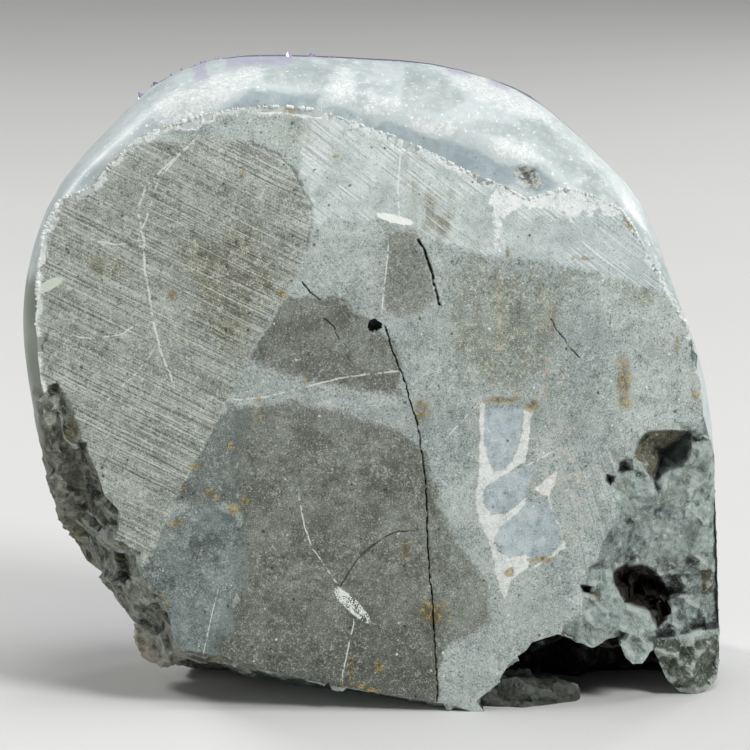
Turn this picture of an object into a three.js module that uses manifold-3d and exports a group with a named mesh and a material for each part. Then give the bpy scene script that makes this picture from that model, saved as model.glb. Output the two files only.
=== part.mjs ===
// Rough amethyst: a standing section of a geode wall, sawn flat at the back and polished round its edge.
// Three materials grew on one another: basalt matrix at the back, an agate and quartz rind over it,
// and a crust of amethyst points on the hollow front. Millimetres, +Z up, the sawn back faces -Y.
import * as THREE from "three";
import { mergeVertices } from "three/addons/utils/BufferGeometryUtils.js";
import Module from "manifold-3d";

const wasm = await Module();
wasm.setup();

// Driving dimensions. Depth is measured forward (+Y) from the foot of the sawn back.
const HEART = new THREE.Vector2(0, 65); // centre of the outline, x and z
const RIM_DEPTH = 24; // depth of the widest outline
const RIM_BEND = 25; // degrees between the sawn back and the start of the rounded rim
const RIM_STEPS = 5;
const FRONT_TAPER = [[40, 0.8], [58, 3.5], [88, 10]]; // depth and inset in front of the widest outline
const SEAM = 0.3; // gap between materials
const SIDES = 72;
const CRUST_SIDES = 36;

// Outlines as x, z points, anticlockwise from the right: the widest outline, the edge of the sawn back,
// and the line where basalt gives way to agate. The last one runs off the stone at the lower right.
const WIDEST = [
  [75.2, 47], [74.6, 57], [71.5, 73.7], [66.3, 87], [58.6, 107], [46.8, 120], [32.9, 131.2],
  [15.6, 137], [-1.6, 138.6], [-27.4, 139.2], [-36, 138], [-46.7, 133.2], [-56.9, 123.4],
  [-68.3, 110.2], [-73.7, 97], [-75.7, 83.7], [-73.6, 63.7], [-68.5, 38], [-65.3, 29.2],
  [-58.8, 23], [-49, 12.8], [-36, -6], [20, -8], [70, -5], [76.6, 6], [75.4, 27.6],
];
const SAWN_EDGE = [
  [70, 65], [67.2, 86], [60, 102], [50, 110.5], [38, 113], [24, 116.5], [10, 122.5], [-6, 128.5],
  [-24, 131.3], [-42, 127.5], [-56, 120], [-67, 109], [-71.5, 95], [-72.5, 78], [-70, 60],
  [-66.5, 44], [-60, 31], [-48, 18], [-34, -8], [20, -10], [66, -8], [72, 8], [71, 30],
];
const RIND_LINE = [
  [72.6, 63.6], [70.3, 76.8], [66.9, 85.5], [62.6, 93.8], [57.1, 102.9], [53.9, 108.7], [48.5, 112.1],
  [42.1, 114.1], [36.8, 113.2], [33.7, 111.7], [28.3, 114.5], [20.9, 117.5], [12.4, 121.8],
  [3.9, 125.4], [-4.5, 128.2], [-13, 131], [-21.4, 131.4], [-29.9, 130.8], [-40.5, 128.2],
  [-49, 124.6], [-54.1, 122.2], [-55, 119], [-58, 115.4], [-62.9, 112.1], [-68.7, 110.4],
  [-70.3, 101.8], [-71.3, 92], [-71.6, 83.3], [-70.9, 73.5], [-69.8, 63.6], [-68.2, 52.6],
  [-72, 38], [-130, 0], [-100, -140], [20, -180], [170, -110], [140, 20],
];

// Depths of the layer boundaries.
const BASALT_AT_HEART = 25;
const BASALT_SLOPE = 0.24; // the basalt thickens this much per mm downwards
const FLOOR_AT_HEART = 37; // depth of the hollow that the crystals stand in
const CRUST = 3.5;
// Depth of the crystal floor at the outline, by angle from the right, anticlockwise.
const FLOOR_AT_EDGE = [
  [0, 33], [45, 25], [90, 25], [135, 25], [180, 30], [215, 47], [270, 60], [315, 56],
];

// Saw cuts and natural breaks: a point on the cut, and its turn about Z and lean in degrees or its normal.
// A rough break also has the height of its bumps, the size of its face and the number of cells across it.
const SAW_CUTS = [
  { at: [10, 0, 40], turn: 0, lean: 1 },
  { at: [-30, 0.2, 67], turn: -3.6, lean: 2.6 },
  { at: [25, 0.8, 99], turn: 1, lean: 9 },
  { at: [53, 0.9, 76], turn: 8, lean: 2 },
];
const LEFT_BREAK = { at: [-59.5, 1, 52], turn: -58.4, lean: -23, rough: 4.5, size: 110, cells: 16 };
const RIGHT_BREAK = { at: [49, 0.5, 34], turn: 36, lean: -9, rough: 7, size: 80, cells: 10 };
const RIGHT_BREAK_TOP = { at: [0, 0, 61], turn: 30, lean: 70 };
const UNDERCUT = { at: [15, 0, 0.5], normal: [-0.237, -0.35, -1], rough: 3, size: 180, cells: 18 };
const BASE = { at: [0, 0, 0], normal: [0, 0, -1] };
const CRYSTAL_BASE = { at: [0, 0, 0.5], normal: [0, 0, -1] }; // the crystals stay clear of the ground

// Rounded lumps, [x, y, z] centres and radii: hollows broken out of the basalt, and one ledge left in them.
const HOLLOWS = [
  { at: [41, 7, 2], radii: [18, 22, 14.5] },
  { at: [58, 14, 1], radii: [15, 20, 10.5] },
  { at: [62, 10, 26], radii: [11, 13, 8.5] },
  { at: [61, 1, 55], radii: [6.5, 6, 6] },
];
const LEDGE = { at: [31, 10, -1], radii: [14.5, 7, 6.5] };
const PITS = [
  { at: [0.7, 0.9, 84.6], radii: [1.6, 2.2, 1.7] },
  { at: [-66.5, 12, 46], radii: [1.5, 2.2, 2] },
];
const RIND_VUG = { at: [32.6, 5.5, 116.6], radii: [2.6, 2, 1.5] };
const ROUGHNESS = 0.16; // share of a lump's radius that its surface wanders

// Amethyst points.
const POINTS = 82;
const POINT_RADIUS = [7.5, 11]; // at the edge and at the heart
const POINT_SLOPE = 1.12; // height of the six-sided tip per mm of radius
const POINT_ROOT = 9; // length below the crust's surface, cut off at the floor
const POINT_FLARE = 1.4; // the root is this much wider than the shoulder
const POINT_TILT = 16; // degrees off the floor's normal

const FAR = 400;

// A repeatable random number from 0 to 1.
function randomFrom(seed) {
  let state = seed;
  return () => {
    state = (state * 1664525 + 1013904223) % 4294967296;
    return state / 4294967296;
  };
}

// Turns closed three.js geometry into a solid, and a solid back into geometry.
function solidOf(geometry) {
  const bare = geometry.clone();
  bare.deleteAttribute("normal");
  bare.deleteAttribute("uv");
  const merged = mergeVertices(bare, 1e-4);
  return new wasm.Manifold(
    new wasm.Mesh({
      numProp: 3,
      vertProperties: new Float32Array(merged.attributes.position.array),
      triVerts: new Uint32Array(merged.index.array),
    }),
  );
}

function geometryOf(solid) {
  const mesh = solid.getMesh();
  const geometry = new THREE.BufferGeometry();
  geometry.setAttribute("position", new THREE.BufferAttribute(mesh.vertProperties, 3));
  geometry.setIndex(new THREE.BufferAttribute(mesh.triVerts, 1));
  geometry.computeVertexNormals();
  return geometry;
}

// The reach of a closed outline from its heart, as a function of the angle.
function reachOf(points) {
  const corners = points.map(([x, z]) => new THREE.Vector3(x - HEART.x, 0, z - HEART.y));
  const samples = new THREE.CatmullRomCurve3(corners, true, "centripetal")
    .getPoints(points.length * 12)
    .map((p) => ({ angle: Math.atan2(p.z, p.x), reach: Math.hypot(p.x, p.z) }))
    .sort((a, b) => a.angle - b.angle);
  const first = samples[0];
  const last = samples[samples.length - 1];
  const turn = 2 * Math.PI;
  const round = [
    { ...last, angle: last.angle - turn },
    ...samples,
    { ...first, angle: first.angle + turn },
  ];
  return (angle) => {
    const next = round.findIndex((s) => s.angle >= angle);
    const a = round[Math.max(next - 1, 0)];
    const b = round[Math.max(next, 1)];
    const share = b.angle > a.angle ? (angle - a.angle) / (b.angle - a.angle) : 0;
    return THREE.MathUtils.lerp(a.reach, b.reach, share);
  };
}

const widestReach = reachOf(WIDEST);
const sawnReach = reachOf(SAWN_EDGE);
const rindReach = reachOf(RIND_LINE);
const edgeFloor = (angle) => {
  const place = THREE.MathUtils.euclideanModulo(THREE.MathUtils.radToDeg(angle), 360);
  const next = FLOOR_AT_EDGE.findIndex(([degrees]) => degrees > place);
  const b = next < 0 ? [360, FLOOR_AT_EDGE[0][1]] : FLOOR_AT_EDGE[next];
  const a = FLOOR_AT_EDGE[(next < 0 ? FLOOR_AT_EDGE.length : next) - 1];
  return THREE.MathUtils.lerp(a[1], b[1], THREE.MathUtils.smoothstep(place, a[0], b[0]));
};

// The outward normal of a cut given by its turn and lean.
function facing({ turn, lean, normal }) {
  if (normal) return new THREE.Vector3(...normal).normalize();
  const t = THREE.MathUtils.degToRad(turn);
  const l = THREE.MathUtils.degToRad(lean);
  return new THREE.Vector3(Math.sin(t) * Math.cos(l), -Math.cos(t) * Math.cos(l), Math.sin(l));
}

// Depth of the sawn back at a place: the deepest of the saw cuts there.
function sawnDepth(x, z) {
  const depths = SAW_CUTS.map((cut) => {
    const normal = facing(cut);
    return cut.at[1] - (normal.x * (x - cut.at[0]) + normal.z * (z - cut.at[2])) / normal.y;
  });
  return Math.max(...depths);
}

// Depth of the basalt's face under the rind, and of the floor that the crystals grow on.
// The basalt runs out at the sawn back along the rind line.
function basaltDepth(reach, angle) {
  const rind = rindReach(angle);
  const edge = sawnDepth(HEART.x + rind * Math.cos(angle), HEART.y + rind * Math.sin(angle));
  const thick = BASALT_AT_HEART - BASALT_SLOPE * reach * Math.sin(angle);
  return thick * (1 - (reach / rind) ** 2) + THREE.MathUtils.lerp(0, edge, Math.min(reach / rind, 1));
}

function floorDepth(reach, angle) {
  const share = (reach / widestReach(angle)) ** 2;
  return THREE.MathUtils.lerp(FLOOR_AT_HEART, edgeFloor(angle), share);
}

// A solid lofted through rings about the heart, from the back cap to the front cap.
// Each ring gives reach and depth by angle, and the caps close on the depths of their centres.
function loftedSolid(sides, rings, backCentre, frontCentre) {
  const shell = new THREE.CylinderGeometry(1, 1, 1, sides, rings.length - 1);
  const position = shell.attributes.position;
  for (let i = 0; i < position.count; i++) {
    const isCentre = Math.hypot(position.getX(i), position.getZ(i)) < 0.5;
    const ring = Math.round((position.getY(i) + 0.5) * (rings.length - 1));
    const angle = Math.atan2(position.getZ(i), position.getX(i));
    const { reach, depth } = isCentre
      ? { reach: 0, depth: ring === 0 ? backCentre : frontCentre }
      : rings[ring](angle);
    position.setXYZ(i, HEART.x + reach * Math.cos(angle), depth, HEART.y + reach * Math.sin(angle));
  }
  return solidOf(shell);
}

// The whole stone before its layers are parted: a rounded polished edge behind, tapering sides in front.
function stoneBlock() {
  const spare = { share: 1.3, depth: -5, inset: 0 }; // behind the saw cuts
  const bend = THREE.MathUtils.degToRad(RIM_BEND);
  const rim = Array.from({ length: RIM_STEPS + 1 }, (_, step) => {
    const a = THREE.MathUtils.lerp(bend, Math.PI / 2, step / RIM_STEPS);
    return {
      share: (1 - Math.sin(a)) / (1 - Math.sin(bend)),
      depth: RIM_DEPTH * (1 - Math.cos(a) / Math.cos(bend)),
      inset: 0,
    };
  });
  const front = FRONT_TAPER.map(([depth, inset]) => ({ share: 0, depth, inset }));
  const profile = [spare, ...rim, ...front];
  const rings = profile.map(({ share, depth, inset }) => (angle) => ({
    reach: THREE.MathUtils.lerp(widestReach(angle), sawnReach(angle), share) - inset,
    depth,
  }));
  return loftedSolid(SIDES, rings, spare.depth, profile[profile.length - 1].depth);
}

// Everything behind a layer boundary. The rings are shares of an outline's reach, from the outside in.
function behind(sides, reachAt, depthAt, shares, offset) {
  const rings = [
    (angle) => ({ reach: shares[0] * reachAt(angle), depth: -FAR }),
    ...shares.map((share) => (angle) => ({
      reach: share * reachAt(angle),
      depth: depthAt(share * reachAt(angle), angle) + offset,
    })),
  ];
  return loftedSolid(sides, rings, -FAR, depthAt(0, 0) + offset);
}

const RIND_RINGS = [1.4, 1.12, 1, 0.9, 0.72, 0.4];
const FLOOR_RINGS = [1.2, 1, 0.8, 0.5];
const behindRind = (offset) => behind(SIDES, rindReach, basaltDepth, RIND_RINGS, offset);
const behindFloor = (offset) => behind(CRUST_SIDES, widestReach, floorDepth, FLOOR_RINGS, offset);

// Everything outside a cut. A rough break's face is a grid whose points wander in and out.
function outsideOf({ rough = 0, size = FAR, cells = 1, ...cut }) {
  const block = new THREE.BoxGeometry(size, size, size, cells, cells, 1);
  const position = block.attributes.position;
  const random = randomFrom(7);
  const wander = new Map();
  for (let i = 0; i < position.count; i++) {
    const spot = [position.getX(i), position.getY(i)].map((v) => v.toFixed(2)).join();
    if (!wander.has(spot)) wander.set(spot, rough * (random() - 0.5));
    if (position.getZ(i) < 0) position.setZ(i, position.getZ(i) + wander.get(spot));
  }
  const normal = facing(cut);
  const turned = new THREE.Quaternion().setFromUnitVectors(new THREE.Vector3(0, 0, 1), normal);
  const centre = new THREE.Vector3(...cut.at).addScaledVector(normal, size / 2);
  block.applyQuaternion(turned).translate(centre.x, centre.y, centre.z);
  return solidOf(block);
}

// A rough lump of stone, or the hollow that one leaves.
function lump({ at, radii }, seed, detail = 2) {
  const ball = new THREE.IcosahedronGeometry(1, detail);
  const position = ball.attributes.position;
  const random = randomFrom(seed);
  const swell = new Map();
  const point = new THREE.Vector3();
  for (let i = 0; i < position.count; i++) {
    point.fromBufferAttribute(position, i);
    const spot = point.toArray().map((v) => v.toFixed(3)).join();
    if (!swell.has(spot)) swell.set(spot, 1 + ROUGHNESS * (random() - 0.5) * 2);
    point.multiplyScalar(swell.get(spot)).multiply(new THREE.Vector3(...radii)).add(new THREE.Vector3(...at));
    position.setXYZ(i, point.x, point.y, point.z);
  }
  return solidOf(ball);
}

// One six-sided amethyst point along +Z, rooted below zero and tapering to an off-centre tip.
function amethystPoint(radius, random) {
  const shoulder = radius * 0.25 * random();
  const tip = shoulder + radius * POINT_SLOPE;
  const profile = [[0, -POINT_ROOT], [radius * POINT_FLARE, -POINT_ROOT], [radius, shoulder], [0, tip]];
  const crystal = new THREE.LatheGeometry(profile.map(([x, y]) => new THREE.Vector2(x, y)), 6);
  crystal.rotateX(Math.PI / 2).rotateZ(random() * Math.PI);
  crystal.scale(0.85 + 0.3 * random(), 0.85 + 0.3 * random(), 1);
  const lean = new THREE.Vector2(random() - 0.5, random() - 0.5).multiplyScalar(0.4);
  const position = crystal.attributes.position;
  for (let i = 0; i < position.count; i++) {
    const above = Math.max(position.getZ(i) - shoulder, 0);
    position.setX(i, position.getX(i) + above * lean.x);
    position.setY(i, position.getY(i) + above * lean.y);
  }
  return crystal;
}

// The floor's normal at a place, from the depths on either side.
function floorNormal(x, z) {
  const step = 1;
  const depthAt = (px, pz) => {
    const flat = new THREE.Vector2(px, pz).sub(HEART);
    return floorDepth(flat.length(), Math.atan2(flat.y, flat.x));
  };
  const slopeX = (depthAt(x + step, z) - depthAt(x - step, z)) / (2 * step);
  const slopeZ = (depthAt(x, z + step) - depthAt(x, z - step)) / (2 * step);
  return new THREE.Vector3(-slopeX, 1, -slopeZ).normalize();
}

// The crust's points, spread over the floor in a sunflower spiral: large at the heart, small at the edge.
function amethystPoints() {
  const random = randomFrom(2024);
  const goldenAngle = Math.PI * (3 - Math.sqrt(5));
  return Array.from({ length: POINTS }, (_, i) => {
    const share = Math.sqrt((i + 0.5) / POINTS);
    const angle = Math.atan2(Math.sin(i * goldenAngle), Math.cos(i * goldenAngle));
    const [small, large] = POINT_RADIUS;
    const radius = THREE.MathUtils.lerp(large, small, share ** 3) * (0.8 + 0.4 * random());
    const reach = share * (widestReach(angle) - radius * 0.7);
    const x = HEART.x + reach * Math.cos(angle);
    const z = HEART.y + reach * Math.sin(angle);
    const tilt = THREE.MathUtils.degToRad(POINT_TILT);
    const axis = floorNormal(x, z)
      .applyEuler(new THREE.Euler(tilt * (random() - 0.5) * 2, 0, tilt * (random() - 0.5) * 2));
    const stood = new THREE.Quaternion().setFromUnitVectors(new THREE.Vector3(0, 0, 1), axis);
    const crystal = amethystPoint(radius, random).applyQuaternion(stood);
    return solidOf(crystal.translate(x, floorDepth(reach, angle) + CRUST, z));
  });
}

// Parts the block into its three materials.
const block = [...SAW_CUTS, BASE].reduce((rest, cut) => rest.subtract(outsideOf(cut)), stoneBlock());

function basaltMatrix() {
  const cutters = [
    outsideOf(LEFT_BREAK),
    outsideOf(RIGHT_BREAK).subtract(outsideOf(RIGHT_BREAK_TOP)),
    outsideOf(UNDERCUT),
    ...HOLLOWS.map((hollow, i) => lump(hollow, 31 + i)),
    ...PITS.map((pit, i) => lump(pit, 51 + i, 1)),
  ];
  const carved = cutters.reduce((rest, cutter) => rest.subtract(cutter), block);
  return carved.add(lump(LEDGE, 40)).subtract(outsideOf(BASE)).intersect(behindRind(0));
}

function agateRind() {
  return block
    .intersect(behindFloor(0))
    .subtract(behindRind(SEAM))
    .subtract(lump(RIND_VUG, 61))
    .subtract(outsideOf(UNDERCUT));
}

function amethystCrystals() {
  const crust = block.intersect(behindFloor(CRUST)).subtract(behindFloor(SEAM));
  const grown = amethystPoints().reduce((druse, point) => druse.add(point), crust);
  return grown
    .intersect(block)
    .subtract(behindFloor(SEAM))
    .subtract(outsideOf(CRYSTAL_BASE));
}

// Each material's colour, roughness and metalness.
const FINISHES = {
  basalt_matrix: new THREE.MeshStandardMaterial({ color: "#7d827b", roughness: 0.9, metalness: 0 }),
  agate_rind: new THREE.MeshStandardMaterial({ color: "#c3ccc9", roughness: 0.3, metalness: 0 }),
  amethyst_crystals: new THREE.MeshStandardMaterial({ color: "#6a3fa0", roughness: 0.1, metalness: 0 }),
};

function piece(name, solid) {
  const mesh = new THREE.Mesh(geometryOf(solid), FINISHES[name]);
  mesh.name = name;
  return mesh;
}

const layers = new THREE.Group();
layers.add(
  piece("basalt_matrix", basaltMatrix()),
  piece("agate_rind", agateRind()),
  piece("amethyst_crystals", amethystCrystals()),
);

// The origin is under the middle of the stone's box, on the ground.
const box = new THREE.Box3().setFromObject(layers);
const middle = box.getCenter(new THREE.Vector3());
layers.position.set(-middle.x, -middle.y, -box.min.z);

const stone = new THREE.Group();
stone.add(layers);

export default stone;
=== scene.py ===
# %% [markdown]
# # A rough amethyst, seen from its sawn back
#
# The stone is a standing section of a geode wall. Its back was sawn through the basalt, its rim of
# agate and quartz was ground round and polished, and its purple points face away from the camera.
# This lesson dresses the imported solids: the basalt gets fracture relief, cracks and a sawn finish, the
# agate a cloudy polish, and the crust of points a druse of smaller ones.

# %% Load the frame
import math
import random

import bmesh
import bpy
import numpy as np
from mathutils import Color, Matrix, Vector, geometry, noise
from mathutils.bvhtree import BVHTree
from mathutils.kdtree import KDTree


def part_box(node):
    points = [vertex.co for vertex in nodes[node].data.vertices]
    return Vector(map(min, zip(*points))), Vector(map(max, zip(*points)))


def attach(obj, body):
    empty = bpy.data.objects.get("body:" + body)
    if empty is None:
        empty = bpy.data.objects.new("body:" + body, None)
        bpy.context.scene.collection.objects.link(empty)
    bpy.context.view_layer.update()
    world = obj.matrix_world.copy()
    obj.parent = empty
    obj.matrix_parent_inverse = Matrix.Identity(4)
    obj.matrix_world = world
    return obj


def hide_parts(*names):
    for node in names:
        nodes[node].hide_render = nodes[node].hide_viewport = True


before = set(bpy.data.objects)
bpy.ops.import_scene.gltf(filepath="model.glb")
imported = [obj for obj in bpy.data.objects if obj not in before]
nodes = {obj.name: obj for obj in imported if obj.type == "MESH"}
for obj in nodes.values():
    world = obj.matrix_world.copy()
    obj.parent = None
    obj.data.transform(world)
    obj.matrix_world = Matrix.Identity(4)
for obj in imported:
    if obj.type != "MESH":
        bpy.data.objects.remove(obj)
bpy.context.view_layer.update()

MM = 0.001
NOISE_SEED = 11
# Vector noise starts from the clock unless it is given a seed, and the stone has to come out the same
# each time.
noise.seed_set(NOISE_SEED)

# %% [markdown]
# ## Camera, light and floor
#
# A long lens a metre away keeps the outline of the stone true. The light is soft, mostly from above and
# a little from the right, because the rolled top edge is the brightest part and the left edge is dull.
# Area lights give that softness, and a pale floor and world fill the shadows. Two more lamps behind the
# stone light its purple side at a slant.

# %% Camera
AIM = Vector((0.06, -21.2, 71.8)) * MM
ELEVATION = math.radians(12)
DISTANCE = 1.0
eye = AIM + DISTANCE * Vector((0, -math.cos(ELEVATION), math.sin(ELEVATION)))
camera = bpy.data.objects.new("camera", bpy.data.cameras.new("camera"))
camera.data.lens = 222.4
camera.data.sensor_width = 36
camera.data.clip_start = 0.05
camera.location = eye
camera.rotation_euler = (AIM - eye).to_track_quat("-Z", "Y").to_euler()
bpy.context.scene.collection.objects.link(camera)
bpy.context.scene.camera = camera
bpy.context.scene.view_settings.view_transform = "Standard"
print("camera at", [round(v, 3) for v in eye])

# %% Lights
LIGHTS = {
    "key": {"at": (0.95, -0.75, 1.0), "size": 0.4, "watts": 17},
    "top": {"at": (0.1, -0.1, 1.1), "size": 0.6, "watts": 5.5},
    "fill": {"at": (-0.9, -0.8, 0.35), "size": 0.7, "watts": 2.0},
    "rear": {"at": (-0.85, 0.6, 0.75), "size": 0.35, "watts": 7},
    "spark": {"at": (0.6, 0.9, 0.35), "size": 0.15, "watts": 2.5},
}
for name, light in LIGHTS.items():
    lamp = bpy.data.objects.new(name, bpy.data.lights.new(name, "AREA"))
    lamp.data.size = light["size"]
    lamp.data.energy = light["watts"]
    lamp.location = light["at"]
    lamp.rotation_euler = (AIM - lamp.location).to_track_quat("-Z", "Y").to_euler()
    bpy.context.scene.collection.objects.link(lamp)
world = bpy.data.worlds.new("studio")
world.use_nodes = True
world.node_tree.nodes["Background"].inputs["Color"].default_value = (0.86, 0.88, 0.9, 1)
world.node_tree.nodes["Background"].inputs["Strength"].default_value = 0.13
bpy.context.scene.world = world
print("lights:", ", ".join(LIGHTS))

# %% [markdown]
# ## Shader maths as Python
#
# A rock's finish is mostly arithmetic on noise. The class below wraps one socket, so that a mask can be
# written as `1 - cloud * 0.5`, and makes any other node through one method. Colours go through `mixed`.

# %% A socket that does arithmetic
class Tone:
    def __init__(self, tree, socket=None):
        self.tree = tree
        self.socket = socket

    def node(self, kind, settings=None, inputs=None, out=0):
        made = self.tree.nodes.new(kind)
        for name, value in (settings or {}).items():
            setattr(made, name, value)
        for key, value in (inputs or {}).items():
            if isinstance(value, Tone):
                self.tree.links.new(value.socket, made.inputs[key])
            else:
                made.inputs[key].default_value = value
        if isinstance(out, tuple):
            return tuple(Tone(self.tree, made.outputs[name]) for name in out)
        return Tone(self.tree, made.outputs[out])

    def math(self, operation, *values):
        return self.node("ShaderNodeMath", {"operation": operation}, dict(enumerate(values)))

    def __add__(self, other):
        return self.math("ADD", self, other)

    def __sub__(self, other):
        return self.math("SUBTRACT", self, other)

    def __rsub__(self, other):
        return self.math("SUBTRACT", other, self)

    def __mul__(self, other):
        return self.math("MULTIPLY", self, other)

    def __truediv__(self, other):
        return self.math("DIVIDE", self, other)

    def __abs__(self):
        return self.math("ABSOLUTE", self)

    __radd__ = __add__
    __rmul__ = __mul__

    def over(self, other):
        return self.math("MAXIMUM", self, other)

    def step(self, low, high):
        settings = {"interpolation_type": "SMOOTHSTEP"}
        return self.node("ShaderNodeMapRange", settings, {0: self, 1: low, 2: high})

    def mixed(self, first, second):
        return self.node("ShaderNodeMix", {"data_type": "RGBA"}, {0: self, 6: first, 7: second}, 2)

    def speckle(self, size, detail=3, rough=0.55):
        inputs = {"Vector": self, "Scale": 1 / size, "Detail": detail, "Roughness": rough}
        return self.node("ShaderNodeTexNoise", inputs=inputs)

    def attribute(self, name):
        return self.node("ShaderNodeAttribute", {"attribute_name": name}, out="Fac")


def rgb(code):
    parts = [int(code[i : i + 2], 16) / 255 for i in (0, 2, 4)]
    return (*Color(parts).from_srgb_to_scene_linear(), 1)


def new_finish(name):
    material = bpy.data.materials.new(name)
    material.use_nodes = True
    shader = material.node_tree.nodes["Principled BSDF"]
    return material, shader, Tone(material.node_tree)


def feed(shader, socket, tone):
    shader.id_data.links.new(tone.socket, shader.inputs[socket])


def millimetres(tone):
    place = tone.node("ShaderNodeTexCoord", out="Object")
    return tone.node("ShaderNodeVectorMath", {"operation": "SCALE"}, {0: place, "Scale": 1 / MM})


print("shader maths ready")

# %% [markdown]
# ## The floor
#
# A plain pale sheet, big enough to fill the view, with a trace of unevenness so that it isn't a flat
# computer grey. New shapes are made in a bmesh, and one helper turns each into an object.

# %% Floor
FLOOR_REACH = 6


def new_piece(shape, name):
    mesh = bpy.data.meshes.new(name)
    shape.to_mesh(mesh)
    shape.free()
    piece = bpy.data.objects.new(name, mesh)
    bpy.context.scene.collection.objects.link(piece)
    return piece


shape = bmesh.new()
bmesh.ops.create_grid(shape, x_segments=2, y_segments=2, size=FLOOR_REACH)
floor = new_piece(shape, "floor")
finish, shader, tone = new_finish("floor_pale")
cloud = millimetres(tone).speckle(220)
feed(shader, "Base Color", cloud.mixed(rgb("cdcdcb"), rgb("d5d5d3")))
shader.inputs["Roughness"].default_value = 0.85
floor.data.materials.append(finish)
print("floor laid")

# %% [markdown]
# ## Copying a solid
#
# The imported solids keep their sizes, so each dressed piece starts as a copy of its solid. The copy's
# loose triangles are merged first, and its faces are set flat. The Remesh modifier then gives it small even
# cells that can carry relief. The sharp kind of remesh keeps the thin wedge of basalt along the rind.

# %% Helpers for pieces
MERGE_GAP = 0.002 * MM


def copy_of(node, name):
    piece = nodes[node].copy()
    piece.data = nodes[node].data.copy()
    piece.name = name
    piece.data.name = name
    piece.data.materials.clear()
    bpy.context.scene.collection.objects.link(piece)
    shape = bmesh.new()
    shape.from_mesh(piece.data)
    bmesh.ops.remove_doubles(shape, verts=shape.verts, dist=MERGE_GAP)
    for face in shape.faces:
        face.smooth = False
    shape.to_mesh(piece.data)
    shape.free()
    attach(piece, "root")
    return piece


def remesh(piece, **settings):
    even = piece.modifiers.new("even_cells", "REMESH")
    for name, value in settings.items():
        setattr(even, name, value)
    bpy.context.view_layer.objects.active = piece
    bpy.ops.object.modifier_apply(modifier=even.name)


def places_of(piece):
    flat = np.empty(len(piece.data.vertices) * 3)
    piece.data.vertices.foreach_get("co", flat)
    return flat.reshape(-1, 3)


def normals_of(piece):
    flat = np.empty(len(piece.data.vertices) * 3)
    piece.data.vertex_normals.foreach_get("vector", flat)
    return flat.reshape(-1, 3)


def put_places(piece, places):
    piece.data.vertices.foreach_set("co", places.ravel())
    piece.data.update()


def put_attribute(piece, name, values):
    layer = piece.data.attributes.new(name, "FLOAT", "POINT")
    layer.data.foreach_set("value", np.asarray(values, dtype=np.float32))


def surface_of(node):
    mesh = nodes[node].data
    return BVHTree.FromPolygons([v.co for v in mesh.vertices], [p.vertices for p in mesh.polygons])


def gaps_to(surface, places):
    return np.array([surface.find_nearest(Vector(p))[3] for p in places])


surfaces = {name: surface_of(name) for name in nodes}
print("surfaces ready:", len(surfaces))

# %% [markdown]
# ## Basalt: even cells
#
# The back of the real stone is sawn on four slightly different planes. Knowing those planes tells the
# sawn skin from the broken one: a point within a third of a millimetre of the deepest plane is sawn.

# %% Basalt cells and their kinds
SAW_FOOT = -33.2
SAW_CUTS = (
    {"at": (9.3, SAW_FOOT, 40), "turn": 0, "lean": 1},
    {"at": (-30.7, SAW_FOOT + 0.2, 67), "turn": -3.6, "lean": 2.6},
    {"at": (24.3, SAW_FOOT + 0.8, 99), "turn": 1, "lean": 9},
    {"at": (52.3, SAW_FOOT + 0.9, 76), "turn": 8, "lean": 2},
)


def sawn_depth(x, z):
    depths = []
    for cut in SAW_CUTS:
        turn, lean = math.radians(cut["turn"]), math.radians(cut["lean"])
        slope_z = math.tan(lean) / math.cos(turn)
        at_x, at_y, at_z = cut["at"]
        depths.append(at_y + math.tan(turn) * (x - at_x) + slope_z * (z - at_z))
    return np.max(depths, axis=0)


def ramp(values, low, high):
    return np.clip((values - low) / (high - low), 0, 1)


basalt = copy_of("basalt_matrix", "basalt_dressed")
remesh(basalt, mode="SHARP", octree_depth=8, scale=0.7, sharpness=1, use_remove_disconnected=True)
print("basalt cells:", len(basalt.data.vertices))

# %% [markdown]
# ## The seam between basalt and rind
#
# The two layers meet along one line, and both dressed pieces have to end on it. The line is found on the
# packed basalt, as the edges between faces that touch the rind and faces that don't. It then wanders a
# little, as a grown boundary does, and each piece's nearest points are moved onto it.

# %% Find the seam
SEAM_STEP = 0.12 * MM
TOUCH_GAP = 0.45 * MM
SEAM_REACH = 1.1
WANDER_SIZE = 3.5 * MM
WANDER = 0.25
shape = bmesh.new()
shape.from_mesh(nodes["basalt_matrix"].data)
bmesh.ops.remove_doubles(shape, verts=shape.verts, dist=MERGE_GAP)
rind = surfaces["agate_rind"]
touching = {f: rind.find_nearest(f.calc_center_median())[3] < TOUCH_GAP for f in shape.faces}
seam_spots = []
for edge in shape.edges:
    if len({touching[f] for f in edge.link_faces}) == 2:
        first, last = (v.co for v in edge.verts)
        steps = max(1, int((last - first).length / SEAM_STEP))
        seam_spots += [first.lerp(last, i / steps) for i in range(steps)]
shape.free()
seam = KDTree(len(seam_spots))
for i, spot in enumerate(seam_spots):
    seam.insert(spot, i)
seam.balance()


def wandered(spot):
    return spot + noise.noise_vector(spot / WANDER_SIZE) * WANDER * MM


def onto_seam(places):
    moved = 0
    for i, spot in enumerate(places):
        near, _, gap = seam.find(Vector(spot) * MM)
        if gap < SEAM_REACH * MM:
            places[i] = wandered(near) / MM
            moved += 1
    return moved


print("seam:", len(seam_spots), "spots")

# %% [markdown]
# ## From the photo to the stone
#
# Some outlines are easiest to read off the photo, as pixels across and down. A ray through a pixel meets
# a given depth behind the sawn face in one place, and the reverse gives the pixel where a place shows.

# %% Pixels and places
PHOTO_SIZE = 750
HALF_PHOTO = PHOTO_SIZE / 2
FAR = 1e9
PER_PIXEL = camera.data.sensor_width / camera.data.lens / PHOTO_SIZE
forward = (AIM - eye).normalized()
rightward = Vector((1, 0, 0))
upward = rightward.cross(forward)


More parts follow.
